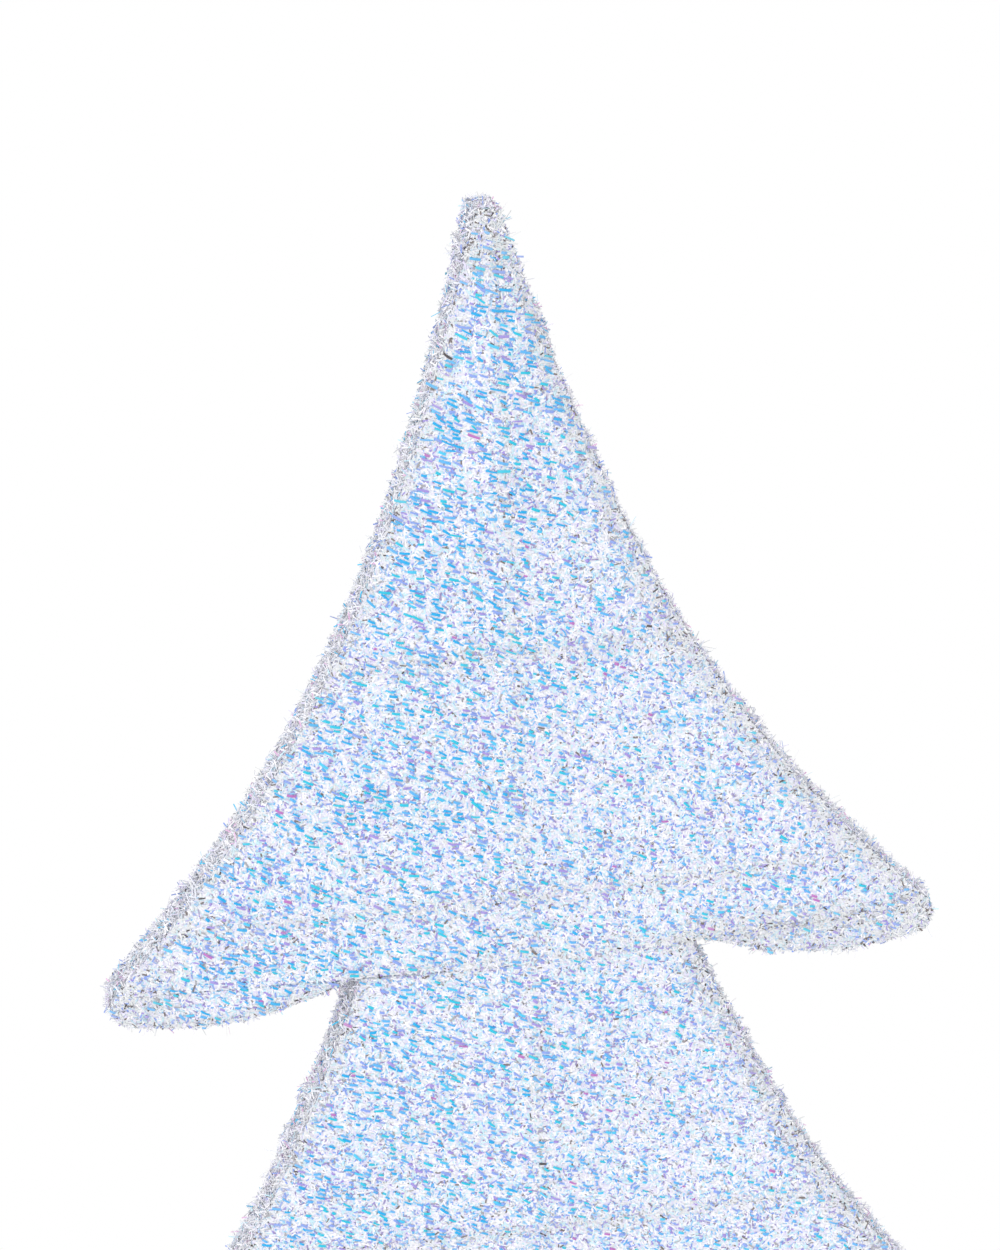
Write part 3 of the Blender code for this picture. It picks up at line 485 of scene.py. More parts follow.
class TreeSizes(bpy.types.PropertyGroup):
    """Sizes of the cloth, its strips and the springs"""

    pile_density: density_setting("Pile density", "Pale tinsel strips to a square metre", 980000.0)
    pile_length: length_setting("Pile length", "Length of a pale strip", 0.0021)
    pile_width: length_setting("Pile width", "Width of a pale strip", 0.00062)
    dash_density: density_setting("Stack density", "Places tried for a stack to a square metre", 120000.0)
    dash_length: length_setting("Dash length", "Length of a blue strip", 0.0028)
    dash_width: length_setting("Dash width", "Width of a blue strip", 0.00092)
    dash_pitch: length_setting("Stack pitch", "Step between strips of one stack", 0.0019)
    dash_spacing: length_setting("Stack spacing", "Least distance between stacks", 0.0034)
    column_pitch: length_setting("Column pitch", "Step between the columns of the knit", 0.0062)
    slant: FloatProperty(
        name="Slant",
        description="How far strips slope down to the right",
        default=math.radians(24),
        unit="ROTATION",
    )
    cloth_thickness: length_setting("Cloth thickness", "Thickness of the knitted backing", 0.0008)
    pucker: length_setting("Pucker", "Height of the cloth's soft puckers", 0.0004)
    grid: length_setting("Cloth grid", "Spacing of the cloth's mesh lines", 0.005)
    spring_wire: length_setting("Spring wire", "Radius of a contact spring's wire", 0.0004)
    spring_radius: length_setting("Spring radius", "Radius of a contact spring's widest turn", 0.0041)
    spring_turns: IntProperty(name="Spring turns", description="Turns of a spring", default=6, min=1)
    seed: IntProperty(name="Seed", description="Seed of the scattered strips", default=7)


class TreeColours(bpy.types.PropertyGroup):
    """Colours of the finishes"""

    backing: colour_setting("Backing", "Colour of the knitted backing", PALE)
    paint: colour_setting("Paint", "Colour of the coated wires and bars", COAT_GREY)
    plastic: colour_setting("Plastic", "Colour of the moulded plastic", PLASTIC_WHITE)
    rubber: colour_setting("Rubber", "Colour of the feet", RUBBER_GREY)


def sizes():
    return bpy.context.scene.tinsel_tree_sizes


def colours():
    return bpy.context.scene.tinsel_tree_colours


def backing_paint(m):
    """White knit with rows of fine loops, and flecks of foil that lie flat in it. The darkest flecks are
    painted shadow.
    """
    at = m.place()
    flecks = m.cells(at, 0.0009)
    pick = m.node("ShaderNodeSeparateColor", None, {0: flecks}, "Red")
    fleck = m.ramp(pick, FLECK_TINTS, "CONSTANT")
    knit = m.mix(0.85, tuple(colours().backing), fleck)
    x, _, z = m.split(at)
    loops = m.noise(m.joined(x, 0.0, z * 0.6), 0.0009)
    return {
        "Base Color": knit,
        "Roughness": 0.55 + 0.2 * m.noise(at, 0.004),
        "Normal": m.bump(loops, 0.0006, 0.6),
    }


def tinsel_paint(m):
    """Thin foil. Each strip carries its own tint."""
    tint = m.node("ShaderNodeAttribute", {"attribute_name": "tint"}, None, "Color")
    at = m.place()
    return {
        "Base Color": m.mix(0.06 * m.noise(at, 0.0007, 1.0), tint, WHITE),
        "Roughness": 0.30 + 0.22 * m.noise(at, 0.0016, 1.0),
        "Specular IOR Level": 0.22,
    }


def wire_paint(m):
    """Smooth white coat with faint dusty patches."""
    at = m.place()
    return {
        "Base Color": m.mix(0.25 * m.noise(at, 0.02), tuple(colours().paint), DUST_AND_SHADE_GREY),
        "Roughness": 0.34 + 0.14 * m.noise(at, 0.003),
        "Normal": m.bump(m.noise(at, 0.0009), 0.0001, 0.3),
    }


def bar_paint(m):
    """Powder coat with its orange-peel skin, rubbed a little on high spots."""
    at = m.place()
    rub = (m.noise(at, 0.03, 4.0) > 0.66) * 0.2
    return {
        "Base Color": m.mix(rub, tuple(colours().paint), SILVER),
        "Roughness": 0.36 + 0.16 * m.noise(at, 0.006),
        "Normal": m.bump(m.noise(at, 0.0012, 3.0), 0.00015, 0.4),
    }


def plastic_paint(m):
    """Moulded plastic with a fine satin grain."""
    at = m.place()
    return {
        "Base Color": m.mix(0.12 * m.noise(at, 0.03), tuple(colours().plastic), SILVER),
        "Roughness": 0.30 + 0.12 * m.noise(at, 0.005),
        "Normal": m.bump(m.noise(at, 0.0005, 1.0), 0.00006, 0.35),
    }


def rubber_paint(m):
    """Matt rubber with dust in its grain."""
    at = m.place()
    dust = m.noise(at, 0.012, 4.0)
    return {
        "Base Color": m.mix(dust * 0.3, tuple(colours().rubber), DUST_AND_SHADE_GREY),
        "Roughness": 0.72 + 0.2 * m.noise(at, 0.004),
        "Normal": m.bump(m.noise(at, 0.0008, 2.0), 0.0002, 0.5),
    }


def lamp_paint(m):
    """Clear insulation and resin, through which the copper shows in places."""
    at = m.place()
    return {
        "Base Color": m.mix(m.noise(at, 0.01), CLEAR_RESIN, COPPER_IN_RESIN),
        "Roughness": 0.12 + 0.1 * m.noise(at, 0.004),
        "Coat Weight": 0.6,
    }


def jacket_paint(m):
    """A plain dark cell jacket."""
    at = m.place()
    x, _, _ = m.split(at)
    band = m.ramp(m.noise(m.joined(x), 0.05, 0.0), ((0.0, JACKET_DARK), (1.0, JACKET_LIGHT)))
    return {
        "Base Color": band,
        "Metallic": 0.55,
        "Roughness": 0.28 + 0.12 * m.noise(at, 0.003),
    }


def nickel_paint(m):
    """Plated spring steel with slightly duller patches."""
    at = m.place()
    return {
        "Base Color": m.mix(m.noise(at, 0.004), NICKEL_LIGHT, NICKEL_SHADE),
        "Metallic": 1.0,
        "Roughness": 0.22 + 0.15 * m.noise(at, 0.002),
    }


def board_paint(m):
    """Green solder mask over straight copper runs."""
    at = m.place()
    x, _, z = m.split(at)
    waves = {"Vector": at, "Scale": 260.0, "Distortion": 1.5}
    run = m.node("ShaderNodeTexWave", {"bands_direction": "Z"}, waves, 1)
    mask = (run > 0.72) * (m.noise(m.joined(x), 0.006) > 0.45)
    return {
        "Base Color": m.mix(mask, MASK_GREEN, RUN_GREEN),
        "Roughness": 0.35 + 0.1 * m.noise(at, 0.002),
        "Normal": m.bump(mask, 0.0001, 0.4),
    }


def slider_paint(m):
    """Black plastic, rubbed lighter in places."""
    at = m.place()
    return {
        "Base Color": m.mix(m.noise(at, 0.004), SLIDER_BLACK, SLIDER_RUBBED),
        "Roughness": 0.42 + 0.15 * m.noise(at, 0.002),
    }


FINISHES = {
    "coated_wire": ("coated wire", wire_paint),
    "coated_bar": ("powder coated bar", bar_paint),
    "white_plastic": ("moulded white plastic", plastic_paint),
    "grey_rubber": ("foot rubber", rubber_paint),
    "lamp_string": ("clear lamp string", lamp_paint),
    "cell_jacket": ("cell jacket", jacket_paint),
    "nickel": ("plated contact", nickel_paint),
    "circuit_board": ("circuit board", board_paint),
    "black_plastic": ("black slider", slider_paint),
}


def cloth_finish():
    return surface("knitted backing", backing_paint)


def tinsel_finish():
    return surface("iridescent tinsel", tinsel_paint)


def linked(name, data):
    """A new object in the scene."""
    item = bpy.data.objects.new(name, data)
    bpy.context.scene.collection.objects.link(item)
    return item


def add_object(name, mesh):
    """A new object that moves with the tree."""
    item = linked(name, mesh)
    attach(item, "tree")
    return item


def welded_copy(node):
    """A CAD node's mesh as a bmesh with its doubles merged."""
    shape = bmesh.new()
    shape.from_mesh(frame["nodes"][node].data)
    bmesh.ops.remove_doubles(shape, verts=shape.verts, dist=WELD)
    shape.normal_update()
    return shape


def mesh_from(shape, name):
    """Turns a bmesh into a mesh and lets the bmesh go."""
    mesh = bpy.data.meshes.new(name)
    shape.to_mesh(mesh)
    shape.free()
    return mesh


def keep_faces(shape, wanted):
    spare = [face for face in shape.faces if not wanted(face)]
    bmesh.ops.delete(shape, geom=spare, context="FACES")


def cut_into_grid(shape, pitch, axes=(0, 2)):
    """Cuts an open sheet along evenly spaced planes, so that it can take fine puckers."""
    for axis in axes:
        low = min(v.co[axis] for v in shape.verts)
        high = max(v.co[axis] for v in shape.verts)
        normal = Vector([1.0 if a == axis else 0.0 for a in range(3)])
        number = math.ceil((low + pitch * FIRST_CUT) / pitch)
        while number * pitch < high - pitch * LAST_CUT:
            geometry = list(shape.verts) + list(shape.edges) + list(shape.faces)
            place = normal * number * pitch
            bmesh.ops.bisect_plane(shape, geom=geometry, dist=WELD, plane_co=place, plane_no=normal)
            number += 1


def panel_node(side, tier):
    return f"{SIDES[side]}_cloth_{tier}"


def outer_face(side, tier):
    """The outer face of one panel. side is -1 in front and 1 behind."""
    shape = welded_copy(panel_node(side, tier))
    keep_faces(shape, lambda face: face.normal.y * side > FACING)
    return shape


def open_edge_points(shape):
    """Points along a sheet's open edges."""
    points = []
    for edge in shape.edges:
        if len(edge.link_faces) == 1:
            a, b = (v.co for v in edge.verts)
            steps = max(1, int((a - b).length / OUTLINE_STEP))
            points += [a.lerp(b, step / steps) for step in range(steps + 1)]
    return points


def search_tree(points):
    """A search for the nearest of the points, as seen from the front."""
    found = kdtree.KDTree(len(points))
    for number, point in enumerate(points):
        found.insert((point.x, 0.0, point.z), number)
    found.balance()
    return found


def wire_lines(word):
    """Heights and half lengths of the level wires that press on the cloth in front or behind."""
    lines = []
    for name in frame["nodes"]:
        if name.startswith(word) and "brace" in name:
            low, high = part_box(name)
            lines.append(((low[2] + high[2]) / 2, high[0]))
    return lines


def nearness(distance, reach):
    """1 at the place itself, and 0 from the reach on."""
    return max(0.0, 1.0 - distance / reach)


def within(value, low=0.0, high=1.0):
    return max(low, min(high, value))


def outer_edge_points():
    """Points along the whole tree's outline, without the seams between tiers."""
    points = []
    for tier in TIERS:
        shape = outer_face(-1, tier)
        points += open_edge_points(shape)
        shape.free()
    seams = seam_places()
    return [point for point in points if not any(on_seam(point, *seam) for seam in seams)]


def on_seam(point, height, half_width):
    return abs(point.z - height) < SEAM_REACH and abs(point.x) < half_width - SEAM_END


def seam_places():
    """(height, half width) of the seams between tiers, from the tops of the lower two panels."""
    places = []
    for tier in TIERS[1:]:
        node = panel_node(-1, tier)
        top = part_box(node)[1][2]
        shape = welded_copy(node)
        places.append((top, max(abs(v.co.x) for v in shape.verts if v.co.z > top - SEAM_SLACK)))
        shape.free()
    return places


def puckers(x, z):
    """Soft unevenness of stretched cloth, from -1 to 1."""
    first = math.sin(x * 131.0 + 1.7 * math.sin(z * 53.0)) * math.sin(z * 97.0 + 0.8)
    second = math.sin(x * 61.0 - z * 38.0 + 2.1)
    return 0.55 * first + 0.45 * second


def coolness(across, height):
    """How blue the foil looks: more on the left as seen, a painted reflection of the half of the ridge that
    catches the light, and towards the apex.
    """
    cool = within(COOL_MIDDLE - across / COOL_SPAN, high=COOL_MOST)
    for start, reach, gain in COOL_STEPS:
        cool += gain * within((height - start) / reach)
    return cool


def tip_points(edge_points):
    """The apex and both bough ends of each tier."""
    tips = [max(edge_points, key=lambda point: point.z)]
    for tier in TIERS:
        low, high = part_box(panel_node(-1, tier))
        own = [point for point in edge_points if low[2] <= point.z <= high[2]]
        tips += [min(own, key=lambda point: point.x), max(own, key=lambda point: point.x)]
    return tips


def rim_shade(across, distance, tip_distance):
    """How much painted shade the pile takes, from 0 to 1: along the outline, more on the right as seen, and
    at the tips, where the rounded edges turn away from the light.
    """
    reach = SHADE_REACH + SHADE_RIGHT_MORE * within(across / SHADE_RIGHT_SPAN)
    return max(nearness(distance, reach), within(TIP_SHADE * nearness(tip_distance, TIP_REACH)))


def dress_panel(side, tier, edge_tree, tip_tree, lines):
    """Shapes a panel's sheet and writes where it is near the outline, near a wire, and cooler."""
    shape = outer_face(side, tier)
    cut_into_grid(shape, sizes().grid)
    rim = shape.verts.layers.float.new("rim")
    fold = shape.verts.layers.float.new("fold")
    cool = shape.verts.layers.float.new("cool")
    top = frame_top()
    for vert in shape.verts:
        x, z = vert.co.x, vert.co.z
        _, _, distance = edge_tree.find((x, 0.0, z))
        _, _, tip_distance = tip_tree.find((x, 0.0, z))
        level = min(abs(z - height) if abs(x) < half + BRACE_END else 1.0 for height, half in lines)
        # rim holds the painted shade of the outline and the tips
        vert[rim] = rim_shade(-side * x, distance, tip_distance)
        vert[fold] = max(
            UPRIGHT_FOLD * nearness(abs(x), UPRIGHT_REACH),
            nearness(level, BRACE_REACH),
            nearness(top - z, PANEL_APEX_REACH),
        )
        # cool carries a painted reflection across the tree: more cyan on the left as seen
        vert[cool] = coolness(-side * x, z) + COOL_UPRIGHT * nearness(abs(x), COOL_UPRIGHT_REACH)
        rounding = nearness(distance, ROUNDED_REACH) ** 2 * ROUNDED_DEPTH
        pucker = sizes().pucker * puckers(x, z) * (1 - nearness(distance, PUCKER_MARGIN))
        vert.co.y += side * (pucker - rounding)
    return mesh_from(shape, panel_node(side, tier) + "_surface")


def frame_top():
    """Height of the apex."""
    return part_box(panel_node(-1, "top"))[1][2]


def tape_surface(name, shadow):
    """The outer face of a side tape as a fine sheet. shadow is a search of the front panels."""

    def inside(point):
        return shadow.ray_cast(Vector((point.x, 0.0, point.z)), Vector((0, -1, 0)))[0] is not None

    def is_outer(face):
        middle, normal = face.calc_center_median(), face.normal
        return not inside(middle + normal * PROBE_OUT) and inside(middle - normal * PROBE_IN)

    shape = welded_copy(name)
    keep_faces(shape, lambda face: abs(face.normal.y) < FACING)
    keep_faces(shape, is_outer)
    cut_into_grid(shape, sizes().grid, axes=(1,))
    rim = shape.verts.layers.float.new("rim")
    fold = shape.verts.layers.float.new("fold")
    shape.verts.layers.float.new("cool")
    top = frame_top()
    for vert in shape.verts:
        vert[rim] = 0.0
        vert[fold] = nearness(top - vert.co.z, TAPE_APEX_REACH)
    return mesh_from(shape, name + "_surface")


def make_sheet(piece_name, node, surface_mesh):
    """A finished cloth piece from a surface, thickened inwards."""
    mesh = surface_mesh.copy()
    mesh.name = piece_name
    mesh.materials.clear()
    mesh.materials.append(cloth_finish())
    item = add_object(piece_name, mesh)
    solid = item.modifiers.new("cloth thickness", "SOLIDIFY")
    solid.thickness = sizes().cloth_thickness
    solid.offset = -1
    mesh.shade_smooth()
    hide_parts(node)
    low = [min(v.co[a] for v in mesh.vertices) for a in range(3)]
    high = [max(v.co[a] for v in mesh.vertices) for a in range(3)]
    return item, low, high


# Surfaces of the cloth by node, for the strips to be scattered on
STOCK = {}


class TINSEL_OT_cloth(bpy.types.Operator):
    """Make the stretched cloth panels and side tapes"""

    bl_idname = "tinsel.cloth"
    bl_label = "Cloth panels"

    def execute(self, context):
        edge_points = outer_edge_points()
        edge_tree = search_tree(edge_points)
        tip_tree = search_tree(tip_points(edge_points))
        shadow = front_shadow()
        for side, word in SIDES.items():
            lines = wire_lines(word)
            for tier in TIERS:
                node = panel_node(side, tier)
                mesh = dress_panel(side, tier, edge_tree, tip_tree, lines)
                STOCK[node] = mesh
                item, low, high = make_sheet(f"cloth_{word}_{tier}", node, mesh)
        for node in TAPES:
            mesh = tape_surface(node, shadow)
            STOCK[node] = mesh
            item, low, high = make_sheet("cloth_" + node, node, mesh)
        return {"FINISHED"}


def front_shadow():
    """A search of the front panels' outer faces, to tell inside the outline from outside."""
    whole = bmesh.new()
    for tier in TIERS:
        mesh = mesh_from(outer_face(-1, tier), "shadow")
        whole.from_mesh(mesh)
        bpy.data.meshes.remove(mesh)
    found = BVHTree.FromBMesh(whole)
    whole.free()
    return found


NUMBER_INPUTS = "Density Length Width Pitch Spacing Column Slant Swing Tilt Lift Tuft".split()
TREE_INPUTS = dict.fromkeys(NUMBER_INPUTS, "Float")
TREE_INPUTS.update({"Stack": "Int", "Seed": "Int", "Material": "Material"})


def new_strip_tree(name, stops, segments, edge_share, coloured):
    """A node tree that scatters foil strips on a surface. stops are the tints that they take."""
    tree = bpy.data.node_groups.new(name, "GeometryNodeTree")
    tree.is_modifier = True
    face = tree.interface
    face.new_socket("Geometry", in_out="INPUT", socket_type="NodeSocketGeometry")
    for label, kind in TREE_INPUTS.items():
        face.new_socket(label, in_out="INPUT", socket_type="NodeSocket" + kind)
    face.new_socket("Geometry", in_out="OUTPUT", socket_type="NodeSocketGeometry")
    m = Maker(tree)
    source = tree.nodes.new("NodeGroupInput")
    given = {socket.name: Socket(m, socket) for socket in source.outputs if socket.name}
    points = scatter(m, given, coloured)
    strips = set_strips(m, given, points, segments, coloured)
    tinted = tint_strips(m, given, strips, stops, edge_share, coloured)
    real = m.node("GeometryNodeRealizeInstances", None, {"Geometry": tinted})
    done = m.node("GeometryNodeSetMaterial", None, {"Geometry": real, "Material": given["Material"]})
    m.node("NodeGroupOutput", None, {"Geometry": done})
    return tree


def named(m, name, kind="FLOAT"):
    """An attribute of the points or of the surface that they stand on."""
    return m.node("GeometryNodeInputNamedAttribute", {"data_type": kind}, {"Name": name}, "Attribute")


def stored(m, geometry, name, value, kind="FLOAT", domain="POINT"):
    return m.node(
        "GeometryNodeStoreNamedAttribute",
        {"data_type": kind, "domain": domain},
        {"Geometry": geometry, "Name": name, "Value": value},
    )


def chance(m, given, draw, low=0.0, high=1.0):
    """A random number for each point."""
    return m.node(
        "FunctionNodeRandomValue",
        {"data_type": "FLOAT"},
        {"Min_001": low, "Max_001": high, "Seed": given["Seed"] + DRAWS[draw]},
        "Value_001",
    )


def lumps(m, scale, detail):
    """Noise over the surface, with so many lumps to a metre."""
    at = m.node("GeometryNodeInputPosition")
    return m.node("ShaderNodeTexNoise", None, {"Vector": at, "Scale": scale, "Detail": detail}, "Fac")


def tuft_share(m):
    """From 0 between the tufts of a ragged edge to 1 in the middle of one."""
    return ((lumps(m, TUFT_SCALE, 1.0) - TUFT_START) * TUFT_STEEPNESS).clamped()


def pile_points(m, given):
    """Points at random, denser along the edges and in the tufts."""
    bunched = 1 + given["Tuft"] * TUFT_CROWD * tuft_share(m)
    crowd = 1 + RIM_CROWD * named(m, "rim") + FOLD_CROWD * named(m, "fold")
    density = given["Density"] * crowd * bunched
    return m.node(
        "GeometryNodeDistributePointsOnFaces",
        {"distribute_method": "RANDOM"},
        {"Mesh": given["Geometry"], "Density": density, "Seed": given["Seed"]},
        "Points",
    )


def stack_points(m, given):
    """Points that keep apart, in patches, and more of them where the foil is cool."""
    cool = WARM_SHARE + (1.0 - WARM_SHARE) * named(m, "cool")
    edges = (1 - RIM_LOSS * named(m, "rim")) * (1 - FOLD_LOSS * named(m, "fold"))
    share = cool * edges * (PATCH_LEAST + PATCH_GAIN * lumps(m, PATCH_SCALE, 2.0))
    return m.node(
        "GeometryNodeDistributePointsOnFaces",
        {"distribute_method": "POISSON"},
        {
            "Mesh": given["Geometry"],
            "Distance Min": given["Spacing"],
            "Density Max": given["Density"],
            "Density Factor": share,
            "Seed": given["Seed"],
        },
        "Points",
    )


def moved(m, points, offset):
    return m.node("GeometryNodeSetPosition", None, {"Geometry": points, "Offset": offset})


def stacked(m, given, points):
    """Draws each point towards its column of the knit and repeats it down the column."""
    x, _, _ = m.split(m.node("GeometryNodeInputPosition"))
    column = (x / given["Column"]).rounded() * given["Column"]
    shift = (column - x) * COLUMN_PULL + chance(m, given, "column", -COLUMN_STRAY, COLUMN_STRAY)
    points = moved(m, points, m.joined(shift))
    amount = m.node(
        "FunctionNodeRandomValue",
        {"data_type": "INT"},
        {"Min_002": 1, "Max_002": given["Stack"], "Seed": given["Seed"] + DRAWS["amount"]},
        "Value_002",
    )
    repeat = {"Geometry": points, "Amount": amount}
    stack = m.node("GeometryNodeDuplicateElements", {"domain": "POINT"}, repeat)
    index = stack.beside("Duplicate Index")
    across = named(m, "across", "FLOAT_VECTOR")
    up = m.vector("CROSS_PRODUCT", named(m, "out", "FLOAT_VECTOR"), across)
    down = m.vector("SCALE", up, scale=index * given["Pitch"] * -1.0)
    stray = index * STACK_DRIFT + chance(m, given, "drift", -STACK_STRAY, STACK_STRAY)
    return moved(m, stack, m.vector("ADD", down, m.vector("SCALE", across, scale=stray)))


def scatter(m, given, coloured):
    """Points on the surface, each with its directions out and across. Coloured ones come in stacks."""
    spread = stack_points(m, given) if coloured else pile_points(m, given)
    points = stored(m, spread, "out", spread.beside("Normal"), "FLOAT_VECTOR")
    across = m.vector("CROSS_PRODUCT", (0.0, 0.0, 1.0), named(m, "out", "FLOAT_VECTOR"))
    points = stored(m, points, "across", m.vector("NORMALIZE", across), "FLOAT_VECTOR")
    return stacked(m, given, points) if coloured else points


def set_strips(m, given, points, segments, coloured):
    """A bent strip on each point, turned to its slant and tilted at random."""
    size = {"Size X": 1.0, "Size Y": 1.0, "Vertices X": segments + 1, "Vertices Y": 2}
    grid = m.node("GeometryNodeMeshGrid", None, size)
    x, y, _ = m.split(m.node("GeometryNodeInputPosition"))
    arched = m.joined(x, y, ARCH_RISE - ARCH_BEND * x * x)
    strip = m.node("GeometryNodeSetPosition", None, {"Geometry": grid, "Position": arched})
    out = named(m, "out", "FLOAT_VECTOR")
    rise = given["Lift"] * chance(m, given, "rise", *RISE_SPREAD) + given["Tuft"] * tuft_share(m)
    points = moved(m, points, m.vector("SCALE", out, scale=rise))
    facing = m.node("FunctionNodeAlignRotationToVector", {"axis": "Z"}, {"Vector": out})
    facing = m.node(
        "FunctionNodeAlignRotationToVector",
        {"axis": "X", "pivot_axis": "Z"},
        {"Rotation": facing, "Vector": named(m, "across", "FLOAT_VECTOR")},
    )
    turn = m.joined(
        given["Tilt"] * chance(m, given, "roll", -1.0),
        given["Tilt"] * chance(m, given, "pitch", -1.0),
        given["Slant"] * -1.0 + given["Swing"] * swing_chance(m, given),
    )
    turned = m.node("FunctionNodeEulerToRotation", None, {"Euler": turn})
    rotation = m.node(
        "FunctionNodeRotateRotation", {"rotation_space": "LOCAL"}, {"Rotation": facing, "Rotate By": turned}
    )
    length = given["Length"] * chance(m, given, "length", *LENGTH_SPREAD)
    if coloured:
        length = length * (WARM_LENGTH + COOL_LENGTH * named(m, "cool"))
    width = given["Width"] * chance(m, given, "width", *WIDTH_SPREAD)
    scale = m.joined(length, width, width)
    placed = {"Points": points, "Instance": strip, "Rotation": rotation, "Scale": scale}
    return m.node("GeometryNodeInstanceOnPoints", None, placed)


def swing_chance(m, given):
    """A random turn that is mostly small: the mean of two draws, from -1 to 1."""
    return (chance(m, given, "swing", -1.0) + chance(m, given, "swing_again", -1.0)) * 0.5


def tint_strips(m, given, strips, stops, edge_share, coloured):
    """Gives each strip its tint. Near the outline, the tips and the wires strips are greyed and some take a
    grey one: painted shade.
    """
    own = chance(m, given, "tint")
    if coloured:
        own = own + (1.0 - own) * (WARM_SHIFT - WARM_SHIFT * named(m, "cool")).clamped()
    tint = m.ramp(own, stops, "CONSTANT")
    # Painted shade: strips near the outline, the tips and the folds are greyed, and some take a shade tint
    worn = m.ramp(chance(m, given, "worn_tint"), SHADE_TINTS, "CONSTANT")
    near = (named(m, "rim") + named(m, "fold") * FOLD_SHADE) * (edge_share * SHADE_SHARE)
    tint = m.mix(near.clamped(), tint, RIM_SHADE_ASH)
    tint = m.mix(chance(m, given, "worn") < near, tint, worn)
    return stored(m, strips, "tint", tint, "FLOAT_COLOR", "INSTANCE")


def scattered(surface_mesh, tree, values, name):
    """Runs a strip tree on a surface and gives its result as a plain mesh."""
    source = linked(name, surface_mesh.copy())
    change = source.modifiers.new("strips", "NODES")
    change.node_group = tree
    for item in tree.interface.items_tree:
        if item.item_type == "SOCKET" and item.in_out == "INPUT" and item.name in values:
            change[item.identifier] = values[item.name]
    bpy.context.view_layer.update()
    graph = bpy.context.evaluated_depsgraph_get()
    mesh = bpy.data.meshes.new_from_object(source.evaluated_get(graph))
    old = source.data
    bpy.data.objects.remove(source, do_unlink=True)
    bpy.data.meshes.remove(old)
    for label in ("out", "across", "rim", "fold", "cool"):
        if label in mesh.attributes:
            mesh.attributes.remove(mesh.attributes[label])
    return mesh


def merged(name, meshes):
    """One mesh from several that share a material."""
    whole = bmesh.new()
    for mesh in meshes:
        whole.from_mesh(mesh)
    made = mesh_from(whole, name)
    made.materials.append(tinsel_finish())
    for mesh in meshes:
        bpy.data.meshes.remove(mesh)
    return made


def pile_values(scale=1.0, lift=0.0005, tilt=0.28, swing=2.2, seed_shift=0, **changes):
    """Inputs of a pile's node tree. scale is its density against that of the panels' pile."""
    s = sizes()
    return {
        "Density": s.pile_density * scale,
        "Length": s.pile_length,
        "Width": s.pile_width,
        "Slant": s.slant,
        "Swing": swing,
        "Tilt": tilt,
        "Lift": lift,
        "Seed": s.seed + seed_shift,
        "Material": tinsel_finish(),
        **changes,
    }


def dash_values():
    """Inputs of the blue stacks' node tree."""
    s = sizes()
    return {
        "Density": s.dash_density,
        "Length": s.dash_length,
        "Width": s.dash_width,
        "Pitch": s.dash_pitch,
        "Spacing": s.dash_spacing,
        "Column": s.column_pitch,
        "Slant": s.slant,
        "Swing": 0.42,
        "Tilt": 0.2,
        "Lift": 0.0009,
        "Stack": 2,
        "Seed": s.seed + 40,
        "Material": tinsel_finish(),
    }


class TINSEL_OT_strips(bpy.types.Operator):
    """Scatter the foil strips over the panels"""

    bl_idname = "tinsel.strips"
    bl_label = "Tinsel strips"

    def execute(self, context):
        pile = new_strip_tree("pale pile", PILE_TINTS, segments=1, edge_share=0.75, coloured=False)
        dashes = new_strip_tree("blue stacks", DASH_TINTS, segments=2, edge_share=0.25, coloured=True)
        for side, word in SIDES.items():
            for tier in TIERS:
                surface_mesh = STOCK[panel_node(side, tier)]
                name = f"tinsel_{word}_{tier}"
                made = [
                    scattered(surface_mesh, pile, pile_values(), name),
                    scattered(surface_mesh, dashes, dash_values(), name),
                ]
                item = add_object(name, merged(name, made))
        return {"FINISHED"}


class TINSEL_OT_edge(bpy.types.Operator):
    """Cover the side tapes with standing strips and stray fibres"""

    bl_idname = "tinsel.edge"
    bl_label = "Edge pile"

    def execute(self, context):
        pile = new_strip_tree("edge pile", EDGE_TINTS, segments=1, edge_share=0.8, coloured=False)
        hairs = new_strip_tree("stray fibres", HAIR_TINTS, segments=2, edge_share=0.0, coloured=False)
        kinds = ((pile, EDGE_PILE), (hairs, EDGE_FUZZ), (hairs, STRAY_FIBRES))
        for node in TAPES:
            name = "tinsel_" + node
            made = [scattered(STOCK[node], tree, pile_values(**kind), name) for tree, kind in kinds]
            item = add_object(name, merged(name, made))
        return {"FINISHED"}


def spring_tips(shape, inner):
    """The middles of the ends of a plate's springs, from its solid, as (place, radius)."""
    reach = min(abs(v.co.x) for v in shape.verts)
    groups = {}
    for vert in shape.verts:
        if abs(vert.co.x) < (reach + inner) / 2:
            groups.setdefault(round(vert.co.z / SPRING_STEP), []).append(vert.co.copy())
    tips = []
    for points in groups.values():
        middle = sum(points, Vector()) / len(points)
        tips.append((middle, max((point - middle).length for point in points)))
    return tips


def clear_springs(shape, inner):
    """Takes the solid springs off a plate and closes the holes that they leave."""
    reach = min(abs(v.co.x) for v in shape.verts)
    keep_faces(shape, lambda face: min(abs(v.co.x) for v in face.verts) > (reach + inner) / 2)
    bare = [vert for vert in shape.verts if not vert.link_faces]
    bmesh.ops.delete(shape, geom=bare, context="VERTS")
    bmesh.ops.holes_fill(shape, edges=[edge for edge in shape.edges if len(edge.link_faces) == 1], sides=0)


